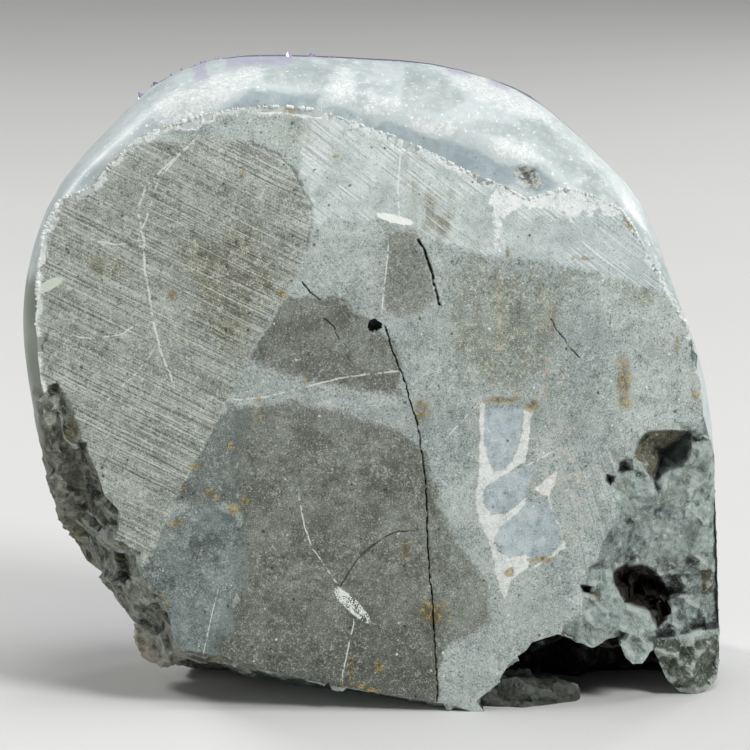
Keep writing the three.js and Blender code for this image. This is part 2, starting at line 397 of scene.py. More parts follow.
def seen_at(across, down, depth):
    ray = forward + (rightward * (across - HALF_PHOTO) + upward * (HALF_PHOTO - down)) * PER_PIXEL
    return (eye + ray * ((SAW_FOOT + depth) * MM - eye.y) / ray.y) / MM


def pixels_of(places):
    rays = places * MM - np.array(eye)
    depth = rays @ np.array(forward) * PER_PIXEL
    across = HALF_PHOTO + rays @ np.array(rightward) / depth
    down = HALF_PHOTO - rays @ np.array(upward) / depth
    return np.stack((across, down), axis=1)


def away_from_line(spots, line):
    nearest = np.full(len(spots), FAR)
    for first, last in zip(line, line[1:]):
        along = np.subtract(last, first)
        offset = spots - first
        share = np.clip(offset @ along / (along @ along), 0, 1)
        nearest = np.minimum(nearest, np.linalg.norm(offset - share[:, None] * along, axis=1))
    return nearest


def patch(spots, outline, soft):
    closed = outline + outline[:1]
    nearest = away_from_line(spots, closed)
    inside = np.zeros(len(spots), bool)
    for (ax, ay), (bx, by) in zip(closed, closed[1:]):
        spans = (ay > spots[:, 1]) != (by > spots[:, 1])
        crossing = ax + (spots[:, 1] - ay) * (bx - ax) / (by - ay if by != ay else 1e-9)
        inside ^= spans & (spots[:, 0] < crossing)
    return np.clip(0.5 + np.where(inside, nearest, -nearest) / (2 * soft), 0, 1)


def patches(spots, outlines, soft):
    return np.max([patch(spots, outline, soft) for outline in outlines], axis=0)


print("middle of the photo:", [round(v, 1) for v in seen_at(HALF_PHOTO, HALF_PHOTO, 0)])

# %% [markdown]
# ## Cracks as grooves
#
# A hairline crack has to be deeper than its width to look black. The cells beside each crack are divided
# four times finer, and then pressed in along a jagged path. How deep a point lies is kept on the mesh, so
# that the finish can darken it. The wide, soft line on the upper left is no crack but the shaded edge of a
# saw step, and its dark line is painted shade.

# %% Cracks, each a width, a share of the full depth and a path across and up
CRACKS = (
    (0.2, 1, [(13.6, 0), (13.5, 5), (13.2, 12), (12.6, 20.4), (12.4, 25), (11.9, 29.3), (11.4, 36),
              (11.2, 42.5), (11.1, 47), (10.8, 51.3), (10.1, 57), (9.2, 63.3), (7.5, 68.8), (6.6, 72),
              (5.4, 75.3), (3.7, 79.6), (2.2, 85)]),
    (0.34, 1, [(13.8, 89.2), (13.2, 91.6), (12.6, 93.7), (12.3, 96), (11.3, 98.7), (10.6, 101),
               (9.2, 103.4)]),
    (0.17, 0.6, [(37.4, 86.4), (38.6, 84.2), (40, 82.4), (41.8, 80), (43.6, 78)]),
    (0.16, 0.6, [(-7.3, 28), (-5.6, 31), (-3.8, 33.7), (-1.6, 36), (1.1, 38), (3.4, 39.4), (5.4, 40),
                 (7.1, 40)]),
    (0.17, 0.8, [(-15.5, 94.3), (-13.8, 92.2), (-11.6, 90.5)]),
    # Not a crack: the shaded edge of the coarse saw step, a shallow groove with painted shade along it.
    (0.5, 0.34, [(-26, 123.6), (-20.5, 121.4), (-18, 119), (-16.5, 116.6), (-15, 113.5), (-13.7, 110.8),
                 (-13.5, 107.6), (-14.6, 101.2)]),
    (0.16, 0.6, [(-10.8, 86.5), (-8.6, 84.4), (-7.6, 82)]),
)


def away_from_cracks(places):
    spots = places[:, [0, 2]]
    return [(share, away_from_line(spots, line) / width) for width, share, line in CRACKS]


def on_saw_cut(places):
    return 1 - ramp(np.abs(places[:, 1] - sawn_depth(places[:, 0], places[:, 2])), 0.15, 0.45)


NEAR_CRACK = 1.3
BRECCIA_FIELD = [(470, 396), (570, 396), (570, 604), (488, 604), (470, 520)]
BRECCIA_BACK = SAW_FOOT + 8
places = places_of(basalt) / MM
near = np.min([away_from_line(places[:, [0, 2]], line) for _, _, line in CRACKS], axis=0) < NEAR_CRACK
near &= on_saw_cut(places) > 0.5
shape = bmesh.new()
shape.from_mesh(basalt.data)
edges = [e for e in shape.edges if all(near[v.index] for v in e.verts)]
bmesh.ops.subdivide_edges(shape, edges=edges, cuts=3, use_grid_fill=True)
shape.verts.index_update()
veined = patch(pixels_of(np.array([v.co for v in shape.verts]) / MM), BRECCIA_FIELD, 1) > 0.5
edges = [e for e in shape.edges if all(veined[v.index] and v.co.y < BRECCIA_BACK * MM for v in e.verts)]
bmesh.ops.subdivide_edges(shape, edges=edges, cuts=1, use_grid_fill=True)
shape.to_mesh(basalt.data)
shape.free()
places = places_of(basalt) / MM
normals = normals_of(basalt)
to_rind = gaps_to(surfaces["agate_rind"], places * MM) / MM
moved = onto_seam(places)
print("divided edges:", len(edges), "basalt cells:", len(places), "on the seam:", moved)

# %% [markdown]
# ## Basalt: the broken corner
#
# The lower right corner has come away in flat flakes that meet at sharp creases. The corners of those
# flakes were read off the photo as pixels, each with a guessed depth behind the sawn face. The ones along
# the sawn edge find their own depth. Joined into triangles they all make one faceted sheet.

# %% Corners of the flakes, as pixel across, pixel down and depth in millimetres
ON_THE_CUT = {
    "sawn_edge": [(668, 417), (646, 419), (624, 430), (606, 446), (594, 466), (594, 488), (600, 503),
                  (596, 522), (584, 552), (576, 570), (568, 584), (564, 600), (562, 618), (558, 634)],
    "sawn_lip": [(634, 442), (626, 456), (612, 464), (603, 484), (613, 500), (610, 516), (598, 540),
                 (592, 560), (576, 604)],
}
FLAKE_CORNERS = {
    "notch_edge": [(646, 430, 1.3), (667, 429, 2.2), (689, 430, 3.2), (691, 456, 4), (633, 459, 1.2),
                   (643, 469, 2.4)],
    "notch_floor": [(686, 434, 5.5), (662, 452, 9.5), (655, 478, 5.5)],
    "upper_flakes": [(634, 470, 1.8), (651, 483, 3), (668, 471, 4.2), (681, 468, 4.6), (628, 496, 1.6),
                     (640, 520, 2.8), (658, 496, 3.4), (666, 514, 5.4), (685, 504, 5.2)],
    "pits": [(610, 479, 2.6), (623, 467, 3), (586, 588, 4)],
    "pit_lips": [(606, 473, 0.5), (616, 476, 1), (611, 486, 0.9), (618, 463, 0.9), (628, 472, 1.6),
                 (594, 586, 0.9), (581, 594, 0.4), (593, 594, 0.9), (580, 584, 0.4)],
    "right_skin": [(711, 440, 5), (714, 470, 9), (715, 500, 13), (715, 520, 15), (716, 556, 17),
                   (717, 590, 19), (719, 632, 20)],
    "middle_flakes": [(694, 488, 5.6), (679, 528, 6.4), (703, 523, 9.5), (629, 524, 2.6), (653, 530, 4.4),
                      (614, 546, 2), (600, 566, 1.4), (627, 562, 5), (646, 563, 7)],
    "cavity_rim": [(662, 554, 7.5), (690, 553, 11), (701, 561, 13), (714, 574, 17)],
    "cavity_floor": [(622, 578, 13), (640, 578, 18), (654, 582, 21), (668, 590, 19), (632, 596, 13),
                     (650, 602, 19), (664, 612, 19), (680, 574, 13), (686, 592, 15)],
    "cavity_ledges": [(628, 587, 9), (636, 591, 16), (643, 587, 12), (646, 595, 12), (658, 598, 14),
                      (639, 600, 9), (655, 611, 12), (667, 601, 15), (648, 573, 12), (661, 574, 11),
                      (633, 571, 9)],
    "cavity_sill": [(623, 603, 3.6), (649, 612, 6), (657, 628, 8.5), (672, 614, 14), (684, 604, 15),
                    (700, 598, 16)],
    "blade": [(612, 574, 2.2), (599, 583, 1.4), (605, 604, 1.8), (613, 626, 2.8), (620, 645, 4.4),
              (626, 658, 5.2), (633, 664, 5.8), (642, 663, 6.4), (648, 656, 7.2), (654, 649, 8.6),
              (614, 587, 2.6), (638, 636, 5.2), (645, 645, 6.4)],
    "gaps": [(622, 634, 6.5), (664, 633, 13), (694, 627, 17), (706, 626, 18)],
    "gap_lips": [(619, 630, 3.2), (629, 633, 4.2), (626, 642, 4.6)],
    "arch_lip": [(590, 606, 1), (584, 622, 0.9), (600, 620, 1.8), (566, 637, 1.6), (580, 643, 3),
                 (592, 648, 4), (606, 640, 4)],
    "foot": [(656, 639, 10), (674, 637, 12), (692, 633, 13), (662, 668, 12), (680, 658, 10.5),
             (702, 650, 13.5), (690, 674, 10.5), (668, 682, 11.5), (680, 692, 13), (697, 694, 13.5),
             (709, 688, 15), (717, 678, 18), (719, 662, 21)],
}
ARCH = [(550, 646), (557, 635), (566, 638), (580, 644), (592, 649), (606, 641), (613, 632), (619, 646),
        (625, 659), (633, 666), (643, 665), (649, 658), (654, 652), (662, 671), (682, 694), (600, 730)]


def on_the_cut(across, down):
    spot = seen_at(across, down, 0)
    for _ in range(4):
        spot = seen_at(across, down, float(sawn_depth(spot.x, spot.z)) - SAW_FOOT)
    return spot


pixels = [corner for group in ON_THE_CUT.values() for corner in group]
corners = [on_the_cut(*corner) for corner in pixels]
for group in FLAKE_CORNERS.values():
    pixels += [corner[:2] for corner in group]
    corners += [seen_at(*corner) for corner in group]
joined = geometry.delaunay_2d_cdt([Vector(pixel) for pixel in pixels], [], [], 0, 1e-4)
order = [origins[0] for origins in joined[3]]
corners = [corners[i] for i in order]
outermost = [i < len(ON_THE_CUT["sawn_edge"]) for i in order]
middles = np.array([np.mean([pixels[order[i]] for i in flake], axis=0) for flake in joined[2]])
open_air = patch(middles, ARCH, 1) > 0.5
flakes = [f for f, air in zip(joined[2], open_air) if not air and not all(outermost[i] for i in f)]
print("flakes:", len(flakes), "of", len(joined[2]))

# %% [markdown]
# The sheet becomes a slab: its triangles are divided until their edges are a millimetre long, roughened a
# little, and given a back by extruding them into the stone. The skin of the basalt that would show in
# front of the slab is moved in behind it, along the line of sight.

# %% Slab of flakes
SLAB_DEPTH = 6
SIDE_CUTS = 5
LONGEST_EDGE = 1.2
CAVITY_RIGHT = 66
JITTER = 0.35
CUT_REST = 0.03
BEHIND = Vector((0, 1, 0))
SLAB_FACETS = ((3.4, 0.16), (1.6, 0.13))
FINE_ROUGH = 0.18
DIVIDE_ROUNDS = 5
SIDE_JITTER = Vector((0.5, 0, 0.5))


def facets(place, size):
    _, sites = noise.voronoi(place / size)
    return (place / size - sites[0]).dot(noise.cell_vector(sites[0] * 7.3)) * size


def tilted(place, cells):
    return sum(share * facets(place, size) for size, share in cells)


def behind_cut(place):
    return place.y - sawn_depth(place.x, place.z)


slab_shape = bmesh.new()
slab_verts = [slab_shape.verts.new(spot) for spot in corners]
flake_tone = slab_shape.faces.layers.float.new("flake_tone")
flake_rng = random.Random(7)
for flake in flakes:
    slab_shape.faces.new([slab_verts[i] for i in flake])[flake_tone] = flake_rng.uniform(0.3, 0.8)
bmesh.ops.delete(slab_shape, geom=[v for v in slab_shape.verts if not v.link_faces], context="VERTS")
rim_lines = [pixels_of(np.array([v.co for v in e.verts])) for e in slab_shape.edges if e.is_boundary]
sheet = BVHTree.FromBMesh(slab_shape)
for _ in range(DIVIDE_ROUNDS):
    long_edges = [e for e in slab_shape.edges if e.calc_length() > LONGEST_EDGE]
    bmesh.ops.subdivide_edges(slab_shape, edges=long_edges, cuts=1, use_grid_fill=True)
    bmesh.ops.triangulate(slab_shape, faces=slab_shape.faces)
for vert in slab_shape.verts:
    if not vert.is_boundary:
        deep = ramp(behind_cut(vert.co), 0.3, 1.5)
        hollow = 1 + 1.2 * ramp(vert.co.y, SAW_FOOT + 8, SAW_FOOT + 12) * ramp(CAVITY_RIGHT - vert.co.x, 0, 4)
        rough = tilted(vert.co, SLAB_FACETS) + FINE_ROUGH * noise.fractal(vert.co / 2, 1, 2.1, 3)
        vert.co += BEHIND * rough * deep * hollow + noise.noise_vector(vert.co / 1.7) * JITTER * deep * hollow
    elif behind_cut(vert.co) > 0.5 and vert.co.x < CAVITY_RIGHT:
        vert.co += noise.noise_vector(vert.co / 1.6) * JITTER
    else:
        vert.co.y += CUT_REST
made = bmesh.ops.extrude_face_region(slab_shape, geom=slab_shape.faces[:], use_keep_orig=True)
back = [g for g in made["geom"] if isinstance(g, bmesh.types.BMVert)]
bmesh.ops.translate(slab_shape, verts=back, vec=BEHIND * SLAB_DEPTH)
sides = [e for e in slab_shape.edges if (e.verts[0].co - e.verts[1].co).cross(BEHIND).length < 1e-4]
made = bmesh.ops.subdivide_edges(slab_shape, edges=sides, cuts=SIDE_CUTS, use_grid_fill=True)
for vert in (g for g in made["geom_inner"] if isinstance(g, bmesh.types.BMVert)):
    vert.co += noise.noise_vector(vert.co / 1.5) * SIDE_JITTER
for vert in slab_shape.verts:
    vert.co.z = max(vert.co.z, 0)
bmesh.ops.recalc_face_normals(slab_shape, faces=slab_shape.faces)
bmesh.ops.scale(slab_shape, vec=(MM, MM, MM), verts=slab_shape.verts)
slab = new_piece(slab_shape, "corner_flakes")
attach(slab, "root")
print("slab faces:", len(slab.data.polygons))

# %% Skin behind the slab
PIXEL = PER_PIXEL * DISTANCE / MM
SLAB_LEFT = 36
COVER = 2.5
RIM_MARGIN = 0.4
RIM_SLOPE = 1.5
spots = pixels_of(places)
to_slab_rim = np.min([away_from_line(spots, line) for line in rim_lines], axis=0) * PIXEL
front = np.zeros(len(places))
for i in np.nonzero(places[:, 0] > SLAB_LEFT)[0]:
    sight = Vector(places[i]) - eye / MM
    spot, _, _, gap = sheet.ray_cast(eye / MM, sight.normalized())
    if spot is not None and sight.length < gap + COVER:
        front[i] = 1
        inward = gap + min(COVER, RIM_SLOPE * (to_slab_rim[i] - RIM_MARGIN))
        places[i] = eye / MM + sight.normalized() * max(sight.length, inward)
print("moved in behind the slab:", int(front.sum()), "cells")

# %% Ground side and foot drawn in under the slab, and a chip from the left edge
LEFT_CHIP = [(20, 382), (58, 382), (68, 396), (80, 425), (88, 450), (92, 474), (100, 488), (80, 500),
             (20, 440)]
SIDE_PULL = 1.4
FOOT_TUCK = 4
CHIP_DEPTH = 1.3
pulled = ramp(places[:, 0], 66, 70) * (1 - ramp(places[:, 2], 56, 64))
pulled *= 1 - ramp(places[:, 1], SAW_FOOT + 24, SAW_FOOT + 30)
places[:, 0] -= SIDE_PULL * pulled
tucked = ramp(places[:, 0], 52, 56) * (1 - ramp(places[:, 2], 6, 10))
tucked *= 1 - ramp(places[:, 1], SAW_FOOT + 18, SAW_FOOT + 22)
places[:, 1] += FOOT_TUCK * tucked
off_rind = ramp(to_rind, 0.8, 2.2)
chipped = ramp(patch(pixels_of(places), LEFT_CHIP, 6), 0.5, 1) * on_saw_cut(places) * off_rind
places[:, 1] += CHIP_DEPTH * chipped
put_places(basalt, places * MM)
normals = normals_of(basalt)
print("chipped:", int((chipped > 0.5).sum()), "cells")

# %% [markdown]
# ## Basalt: fracture relief
#
# Where basalt breaks it leaves small tilted facets with steps between them. Voronoi cells give that: in
# each cell the surface is tilted by a random slope of its own. Three sizes of cell are laid over each
# other, and a little fractal noise roughens the whole. The ground right edge is smooth, and the sawn skin
# moves by a hair only.

# %% Relief
sawn = on_saw_cut(places)
hidden = 1 - ramp(to_rind, 0.4, 0.8)
standing = 1 - ramp(places[:, 2], 0.3, 0.9)
ground = ramp(normals[:, 0], 0.45, 0.65) * ramp(places[:, 0], 60, 68) * ramp(places[:, 2], 2, 8)
broken = (1 - sawn) * (1 - hidden) * (1 - standing)
FACETS = ((9.0, 0.28), (3.6, 0.3), (1.8, 0.22))
CRACK_DEPTH = 0.8
SAW_WAVE = 0.06
relief = np.zeros(len(places))
for i in np.nonzero(broken > 0.02)[0]:
    spot = Vector(places[i])
    smooth_side = 0.6 * ramp(-spot.x, 30, 40)
    wild = sum(share * facets(spot, size) * (1 - smooth_side * (size < 5)) for size, share in FACETS)
    rough = wild + 0.3 * noise.fractal(spot / 2.2, 1.0, 2.1, 3)
    calm = (1 - 0.9 * ground[i]) * (1 - front[i]) * (1 - pulled[i]) * (0.55 + 0.45 * ramp(spot.z, 4, 20))
    relief[i] = broken[i] * rough * calm
for i in np.nonzero(sawn > 0.5)[0]:
    relief[i] += SAW_WAVE * noise.fractal(Vector(places[i]) / 3.1, 1.0, 2.0, 2)
wander = np.array([noise.noise(Vector(spot) / 1.4) for spot in places])
crack_and_step_shade = np.zeros(len(places))
for share, away in away_from_cracks(places + 0.25 * wander[:, None]):
    crack_and_step_shade = np.maximum(crack_and_step_shade, share * np.clip(1.3 - away - 1.1 * np.abs(wander), 0, 1))
crack_and_step_shade *= sawn
relief -= CRACK_DEPTH * crack_and_step_shade
places += normals * relief[:, None]
places[:, 2] = np.maximum(places[:, 2], 0)
put_places(basalt, places * MM)
put_attribute(basalt, "crack_and_step_shade", crack_and_step_shade)
print("relief from", round(relief.min(), 2), "to", round(relief.max(), 2), "mm")

# %% [markdown]
# ## Basalt: worn edges and painted crease shade
#
# Edges of broken rock are scuffed pale, and creases are darkened with painted shade. A point that stands
# out from the mean of its neighbours is on an edge, and one that lies behind it is in a crease.

# %% Worn edges and painted crease shade
# One number per point: high on edges, which get pale scuffs, and low in creases, which get painted shade.
def put_scuffs_and_crease_shade(piece, share):
    ends = np.empty(len(piece.data.edges) * 2, dtype=np.int64)
    piece.data.edges.foreach_get("vertices", ends)
    ends = ends.reshape(-1, 2)
    spots = places_of(piece) / MM

    def around(values):
        total = np.zeros_like(values)
        count = np.zeros(len(values))
        for here, there in ((0, 1), (1, 0)):
            np.add.at(total, ends[:, here], values[ends[:, there]])
            np.add.at(count, ends[:, here], 1)
        return total / np.maximum(count, 1).reshape(-1, *[1] * (values.ndim - 1))

    stand_out = np.einsum("ij,ij->i", spots - around(around(spots)), normals_of(piece))
    put_attribute(piece, "scuffs_and_crease_shade", np.clip(0.5 + around(stand_out) * share * 2.2, 0, 1))
    return stand_out


GROUND_EDGE = (66, 69)
for piece, share in ((basalt, broken * (1 - ramp(places[:, 0], *GROUND_EDGE))), (slab, 1)):
    stand_out = put_scuffs_and_crease_shade(piece, share)
    print(piece.name, "stands out", round(stand_out.min(), 2), "to", round(stand_out.max(), 2), "mm")

# %% [markdown]
# ## Basalt: patches of colour
#
# Brown cores of fresh basalt sit in blue-grey altered rock, and rust spots dot both. Each patch is a
# plain outline on the back, in millimetres across and up, stored on the mesh as a soft number that the
# shader then frays with noise. The broken corner has patches of its own, given as pixels like its flakes.
# Its dark faces, its cavity and the hollow underneath are painted shade.

# %% Patches of the sawn back
BROWN_CORES = (
    [(-29, 67), (-17, 68), (-5.5, 65), (5.4, 62), (10, 58.5), (13, 50), (15, 43), (18.5, 36), (24, 29),
     (25.5, 20), (15, 14), (13, 2), (-10, 3), (-38, 10), (-30, 25), (-29, 42), (-31, 57)],
    [(-18, 90.5), (-6, 91), (-0.6, 85), (4.3, 80.7), (5.8, 75), (5.4, 69.5), (-12, 72.5), (-19, 75),
     (-27.5, 78), (-22, 87)],
    [(3.7, 104.5), (8.5, 105), (11.3, 99), (12.2, 90.5), (8.6, 88), (2.8, 88), (2.4, 95)],
)
SLATE = (
    [(-52, 33), (-46, 41), (-38, 46), (-29, 45), (-28, 36), (-29, 26), (-31, 18), (-36, 8), (-45, 6),
     (-52, 20)],
    [(-31, 68), (-27, 65), (-29, 56), (-28, 45), (-38, 46), (-46, 46), (-36, 62)],
)
OLIVE_MOTTLES = (
    [(16, 101), (27, 99), (41, 96), (42.5, 84), (39, 70), (27, 69), (20, 71), (14, 80), (15, 90)],
    [(6, 104), (8, 115), (16, 114), (19, 104)],
    [(-19, 124), (-19, 132), (-13.5, 131), (-13.5, 123)],
    [(53, 87), (52, 94), (60, 95), (63, 88)],
    [(-62, 100), (-50, 101), (-51, 92), (-61, 93)],
    [(-44, 104), (-26, 110), (-17, 96), (-30, 76), (-40, 82)],
    [(2.4, 110), (8, 110), (8, 103), (3, 103)],
)
FRAGMENTS = (
    [(485, 409), (509, 407), (523, 408), (524, 426), (516, 449), (506, 470), (492, 471), (484, 456),
     (483, 422)],
    [(482, 492), (497, 478), (522, 468), (533, 467), (527, 495), (513, 509), (492, 516), (483, 503)],
    [(493, 536), (509, 519), (527, 502), (547, 502), (561, 536), (550, 555), (530, 557), (509, 559),
     (497, 546)],
)
CEMENT = (
    [(479, 402), (486, 403), (484, 422), (485, 443), (488, 458), (494, 471), (503, 470), (511, 462),
     (517, 449), (521, 437), (523, 409), (535, 408), (531, 420), (530, 434), (528, 452), (526, 462),
     (509, 472), (497, 479), (487, 487), (484, 496), (485, 504), (492, 515), (505, 513), (520, 502),
     (527, 496), (526, 504), (510, 520), (500, 529), (494, 537), (499, 551), (509, 558), (525, 554),
     (530, 557), (528, 567), (512, 581), (507, 597), (503, 599), (498, 587), (493, 561), (488, 541),
     (482, 529), (476, 510), (474, 498), (479, 472), (479, 440)],
    [(534, 489), (543, 481), (557, 471), (554, 487), (549, 496), (543, 495)],
    [(565, 534), (566, 548), (556, 556), (545, 562), (534, 570), (533, 566), (549, 555), (560, 545)],
)
CRUSTED = ([(490, 198), (497, 186), (515, 197), (529, 192), (543, 186), (562, 184), (583, 189), (600, 197),
            (617, 207), (631, 217), (639, 230), (643, 246), (634, 234), (620, 224), (604, 214), (586, 212),
            (577, 216), (571, 223), (564, 212), (549, 208), (526, 205), (514, 211), (504, 219), (501, 240),
            (499, 252), (493, 244), (491, 218)],)
RUST_SPOTS = (
    (53, 73.5, 2, 5.5), (53.5, 68.5, 2, 2), (-38, 54.4, 2, 1.2), (-35.3, 48.2, 1.8, 1.5),
    (-30.4, 44.9, 1.6, 1.8), (-28.2, 46.9, 2, 1), (-31, 58.8, 1, 1), (-41, 49.5, 0.7, 3.4),
    (-43, 42, 1.8, 1), (-14.7, 73, 0.8, 0.9), (-25, 68.8, 0.9, 0.9), (-24.6, 65.5, 0.5, 2.5),
    (-2.3, 48.2, 0.8, 1), (6.7, 36, 1, 2.4), (27.5, 68.8, 4.5, 0.9), (33.5, 67.5, 1.6, 1.6),
    (-5, 9.6, 0.6, 2.6), (1, 9.6, 1.2, 2), (12, 9.6, 0.6, 2), (-28.3, 117, 0.7, 1),
    (-30.2, 114.6, 0.6, 0.7), (-43, 91.3, 1.2, 1.6), (-8.4, 121, 0.9, 0.5), (-20, 91.8, 1.6, 0.6),
    (16.8, 40, 0.5, 3), (28.3, 100.6, 0.6, 1.6), (29, 31, 1.4, 1.2), (36.5, 33.8, 3.2, 0.9),
    (-16.5, 130.4, 3, 0.7), (25.6, 96, 0.5, 1.4), (44, 99.5, 3, 0.6), (57, 60, 1.4, 2.2), (-3.5, 5, 6, 1.6),
    (-46, 24, 2, 3), (64.5, 80, 0.9, 3), (68.5, 70, 0.8, 3), (10, 66, 2, 3), (13, 22, 4, 3),
)


def spots_mask(places, spots):
    mask = np.zeros(len(places))
    for x, z, wide, high in spots:
        away = np.hypot((places[:, 0] - x) / wide, (places[:, 2] - z) / high)
        mask = np.maximum(mask, np.clip(1.4 - away * 0.9, 0, 1))
    return mask


SOFT_BACK = {"brown": (BROWN_CORES, 2), "slate": (SLATE, 2.5), "olive": (OLIVE_MOTTLES, 5)}
SOFT_PIXELS = {"fragment": (FRAGMENTS, 4), "cement": (CEMENT, 4), "crusted": (CRUSTED, 5)}
flat_places = places[:, [0, 2]]
photo_places = pixels_of(places)
for spots, soft_patches in ((flat_places, SOFT_BACK), (photo_places, SOFT_PIXELS)):
    for name, (outlines, soft) in soft_patches.items():
        put_attribute(basalt, name, patches(spots, outlines, soft))
put_attribute(basalt, "rust", spots_mask(places, RUST_SPOTS))
at_seam = (1 - ramp(to_rind, 1.2, 2.4)) * ramp(places[:, 2], 84, 92)
put_attribute(basalt, "broken", np.maximum(broken, ramp(1 - sawn, 0.6, 1)) * (1 - at_seam))
FAR_FROM_RIND = 50
put_attribute(basalt, "to_rind", np.minimum(to_rind, FAR_FROM_RIND))
print("rust spots:", len(RUST_SPOTS))

# %% Patches of the broken corner
CORNER_PATCHES = {
    "ochre_face": [[(645, 428), (689, 429), (662, 452), (655, 480), (643, 469), (632, 459)],
                   [(648, 408), (668, 418), (684, 427), (652, 428), (643, 432), (644, 416)],
                   [(590, 592), (600, 588), (601, 602), (588, 603)],
                   [(701, 564), (712, 570), (715, 582), (710, 594), (701, 594)]],
    # Painted shade: the notch face turned from the light, and small pits and gaps, are coloured dark.
    "shaded_face": [[(689, 430), (692, 432), (691, 456), (681, 468), (668, 471), (656, 481), (654, 478),
                   (662, 452)],
                  [(605, 474), (611, 472), (615, 481), (610, 486)],
                  [(619, 462), (626, 461), (627, 470), (621, 474)],
                  [(582, 584), (592, 586), (589, 592), (583, 591)],
                  [(616, 628), (629, 632), (628, 639), (618, 637)],
                  [(655, 629), (676, 630), (675, 637), (656, 638)],
                  [(690, 624), (718, 622), (718, 629), (692, 630)]],
    "moss_face": [[(604, 536), (620, 520), (636, 516), (646, 540), (640, 560), (612, 568), (588, 570),
                   (594, 552)],
                  [(664, 556), (694, 556), (700, 566), (700, 594), (686, 606), (672, 606), (668, 580)],
                  [(694, 604), (716, 600), (718, 622), (700, 622)]],
    "foot_face": [[(653, 641), (674, 638), (700, 640), (720, 634), (724, 668), (712, 694), (680, 698),
                   (660, 678)]],
    # Painted shade: the deep hollow in the corner is coloured near black; its gloss is the rock's own.
    "shaded_cavity": [[(612, 570), (626, 565), (645, 565), (656, 572), (668, 588), (672, 604), (668, 618),
                (657, 629), (649, 611), (624, 602), (615, 586)]],
    "pale_face": [[(600, 582), (612, 574), (616, 587), (624, 603), (649, 613), (657, 630), (650, 656),
                   (642, 664), (627, 661), (614, 630), (605, 604)],
                  [(574, 606), (604, 604), (614, 630), (604, 642), (592, 649), (568, 640)],
                  [(690, 460), (712, 470), (716, 550), (664, 552), (650, 540), (680, 530), (692, 500)]],
}
slab_places = places_of(slab) / MM
slab_pixels = pixels_of(slab_places)
for name, outlines in CORNER_PATCHES.items():
    put_attribute(slab, name, patches(slab_pixels, outlines, 4))
slab_depth = slab_places[:, 1] - sawn_depth(slab_places[:, 0], slab_places[:, 2])
put_attribute(slab, "broken", ramp(slab_depth, 0.3, 1.2))
put_attribute(slab, "to_rind", np.full(len(slab_places), FAR_FROM_RIND))
# Painted shade: faces looking down in the hollow under the corner are coloured near black.
facing_down = ramp(-normals[:, 2] - normals[:, 1] * 0.4, -0.2, 0)
underside_shade = ramp(places[:, 1], SAW_FOOT + 2, SAW_FOOT + 6) * (1 - front) * facing_down
underside_shade *= ramp(places[:, 0], 15, 30) * (1 - ramp(places[:, 2], 16, 24)) * (1 - ramp(places[:, 0], 62, 68))
put_attribute(basalt, "underside_shade", underside_shade)
LEDGE = [(478, 716), (482, 690), (505, 676), (545, 672), (590, 690), (590, 716)]
behind_saw = ramp(places[:, 1] - sawn_depth(places[:, 0], places[:, 2]), 0.6, 1.2)
on_ledge = ramp(patch(photo_places, LEDGE, 4), 0.3, 0.6) * (1 - ramp(places[:, 2], 9, 11))
put_attribute(basalt, "ledge", on_ledge * behind_saw)
print("corner patches:", ", ".join(CORNER_PATCHES))

# %% [markdown]
# ## Basalt: lines on the back
#
# Veins are thinner than the cells, but the signed distance to a line crosses nought on the line itself,
# however coarse the cells are. So each point keeps its distance to the nearest vein, in units of the
# vein's width, and how near that vein is. Veins that meet go in different groups.

# %% Lines on the back
VEINS = {
    "vein_a": ((0.34, [(-43.3, 73), (-45.4, 78.4), (-46.8, 84), (-47.9, 90.4), (-48.9, 96.6), (-49, 102.4),
                       (-50.2, 109), (-48.7, 114.2), (-44, 119), (-39.3, 123.2)]),
               (0.24, [(-29.6, 68.8), (-23.4, 69.4), (-18, 70.7), (-11.7, 72.5), (-6.3, 73.8), (-1, 74.4),
                       (5, 75)]),
               (0.28, [(5.1, 108.6), (4.9, 113.8), (5.4, 121.2)]),
               (0.22, [(1.5, 88), (2.4, 96), (3, 103)]),
               (0.22, [(-8.1, 28.4), (-10.7, 32.4), (-13.5, 36.4), (-15.2, 41.4), (-16, 47)]),
               (0.14, [(-38, 8), (-35, 22), (-33.5, 28)]),
               (0.26, [(39.6, 41.2), (38.2, 43.8), (37, 49)])),
    "vein_b": ((0.26, [(-49.7, 104.7), (-47.7, 109.7), (-46.2, 115.5), (-42, 120.6), (-37.8, 124.8)]),
               (0.24, [(-59, 102.7), (-55.4, 102), (-51.8, 102.4), (-49.3, 101.5)]),
               (0.22, [(-63.3, 82), (-60.3, 81.8), (-54, 82.6), (-50.9, 84.8)]),
               (0.22, [(-58, 67.6), (-55.7, 69.8), (-51, 74.2), (-47.3, 79.2)]),
               (0.2, [(-7, 8), (-4.5, 20)]),
               (0.26, [(32.6, 54.6), (36.5, 56.6), (38.8, 57.8)]),
               (0.2, [(15, 60), (22, 68)])),
    "pink_vein": ((0.3, [(43, 42.5), (44, 48), (44.4, 53.5), (44, 58.8)]),
                  (0.3, [(23.3, 68.8), (25.2, 71.8), (25.9, 76.8), (26.7, 86), (26, 98)]),
                  (0.3, [(36, 66), (36.5, 76), (37.5, 88)])),
}
COARSE_FACET = [(-48.3, 33.7), (-42.8, 47), (-34.8, 62.2), (-27.7, 76.4), (-23.4, 84), (-18.4, 92.6),
                (-14.6, 101.2), (-13.7, 107.6), (-13.7, 110.8), (-16.5, 116.6), (-20, 121.2),
                (-27.5, 124.2), (-36, 124.8), (-95, 120), (-95, 20), (-60, 20)]
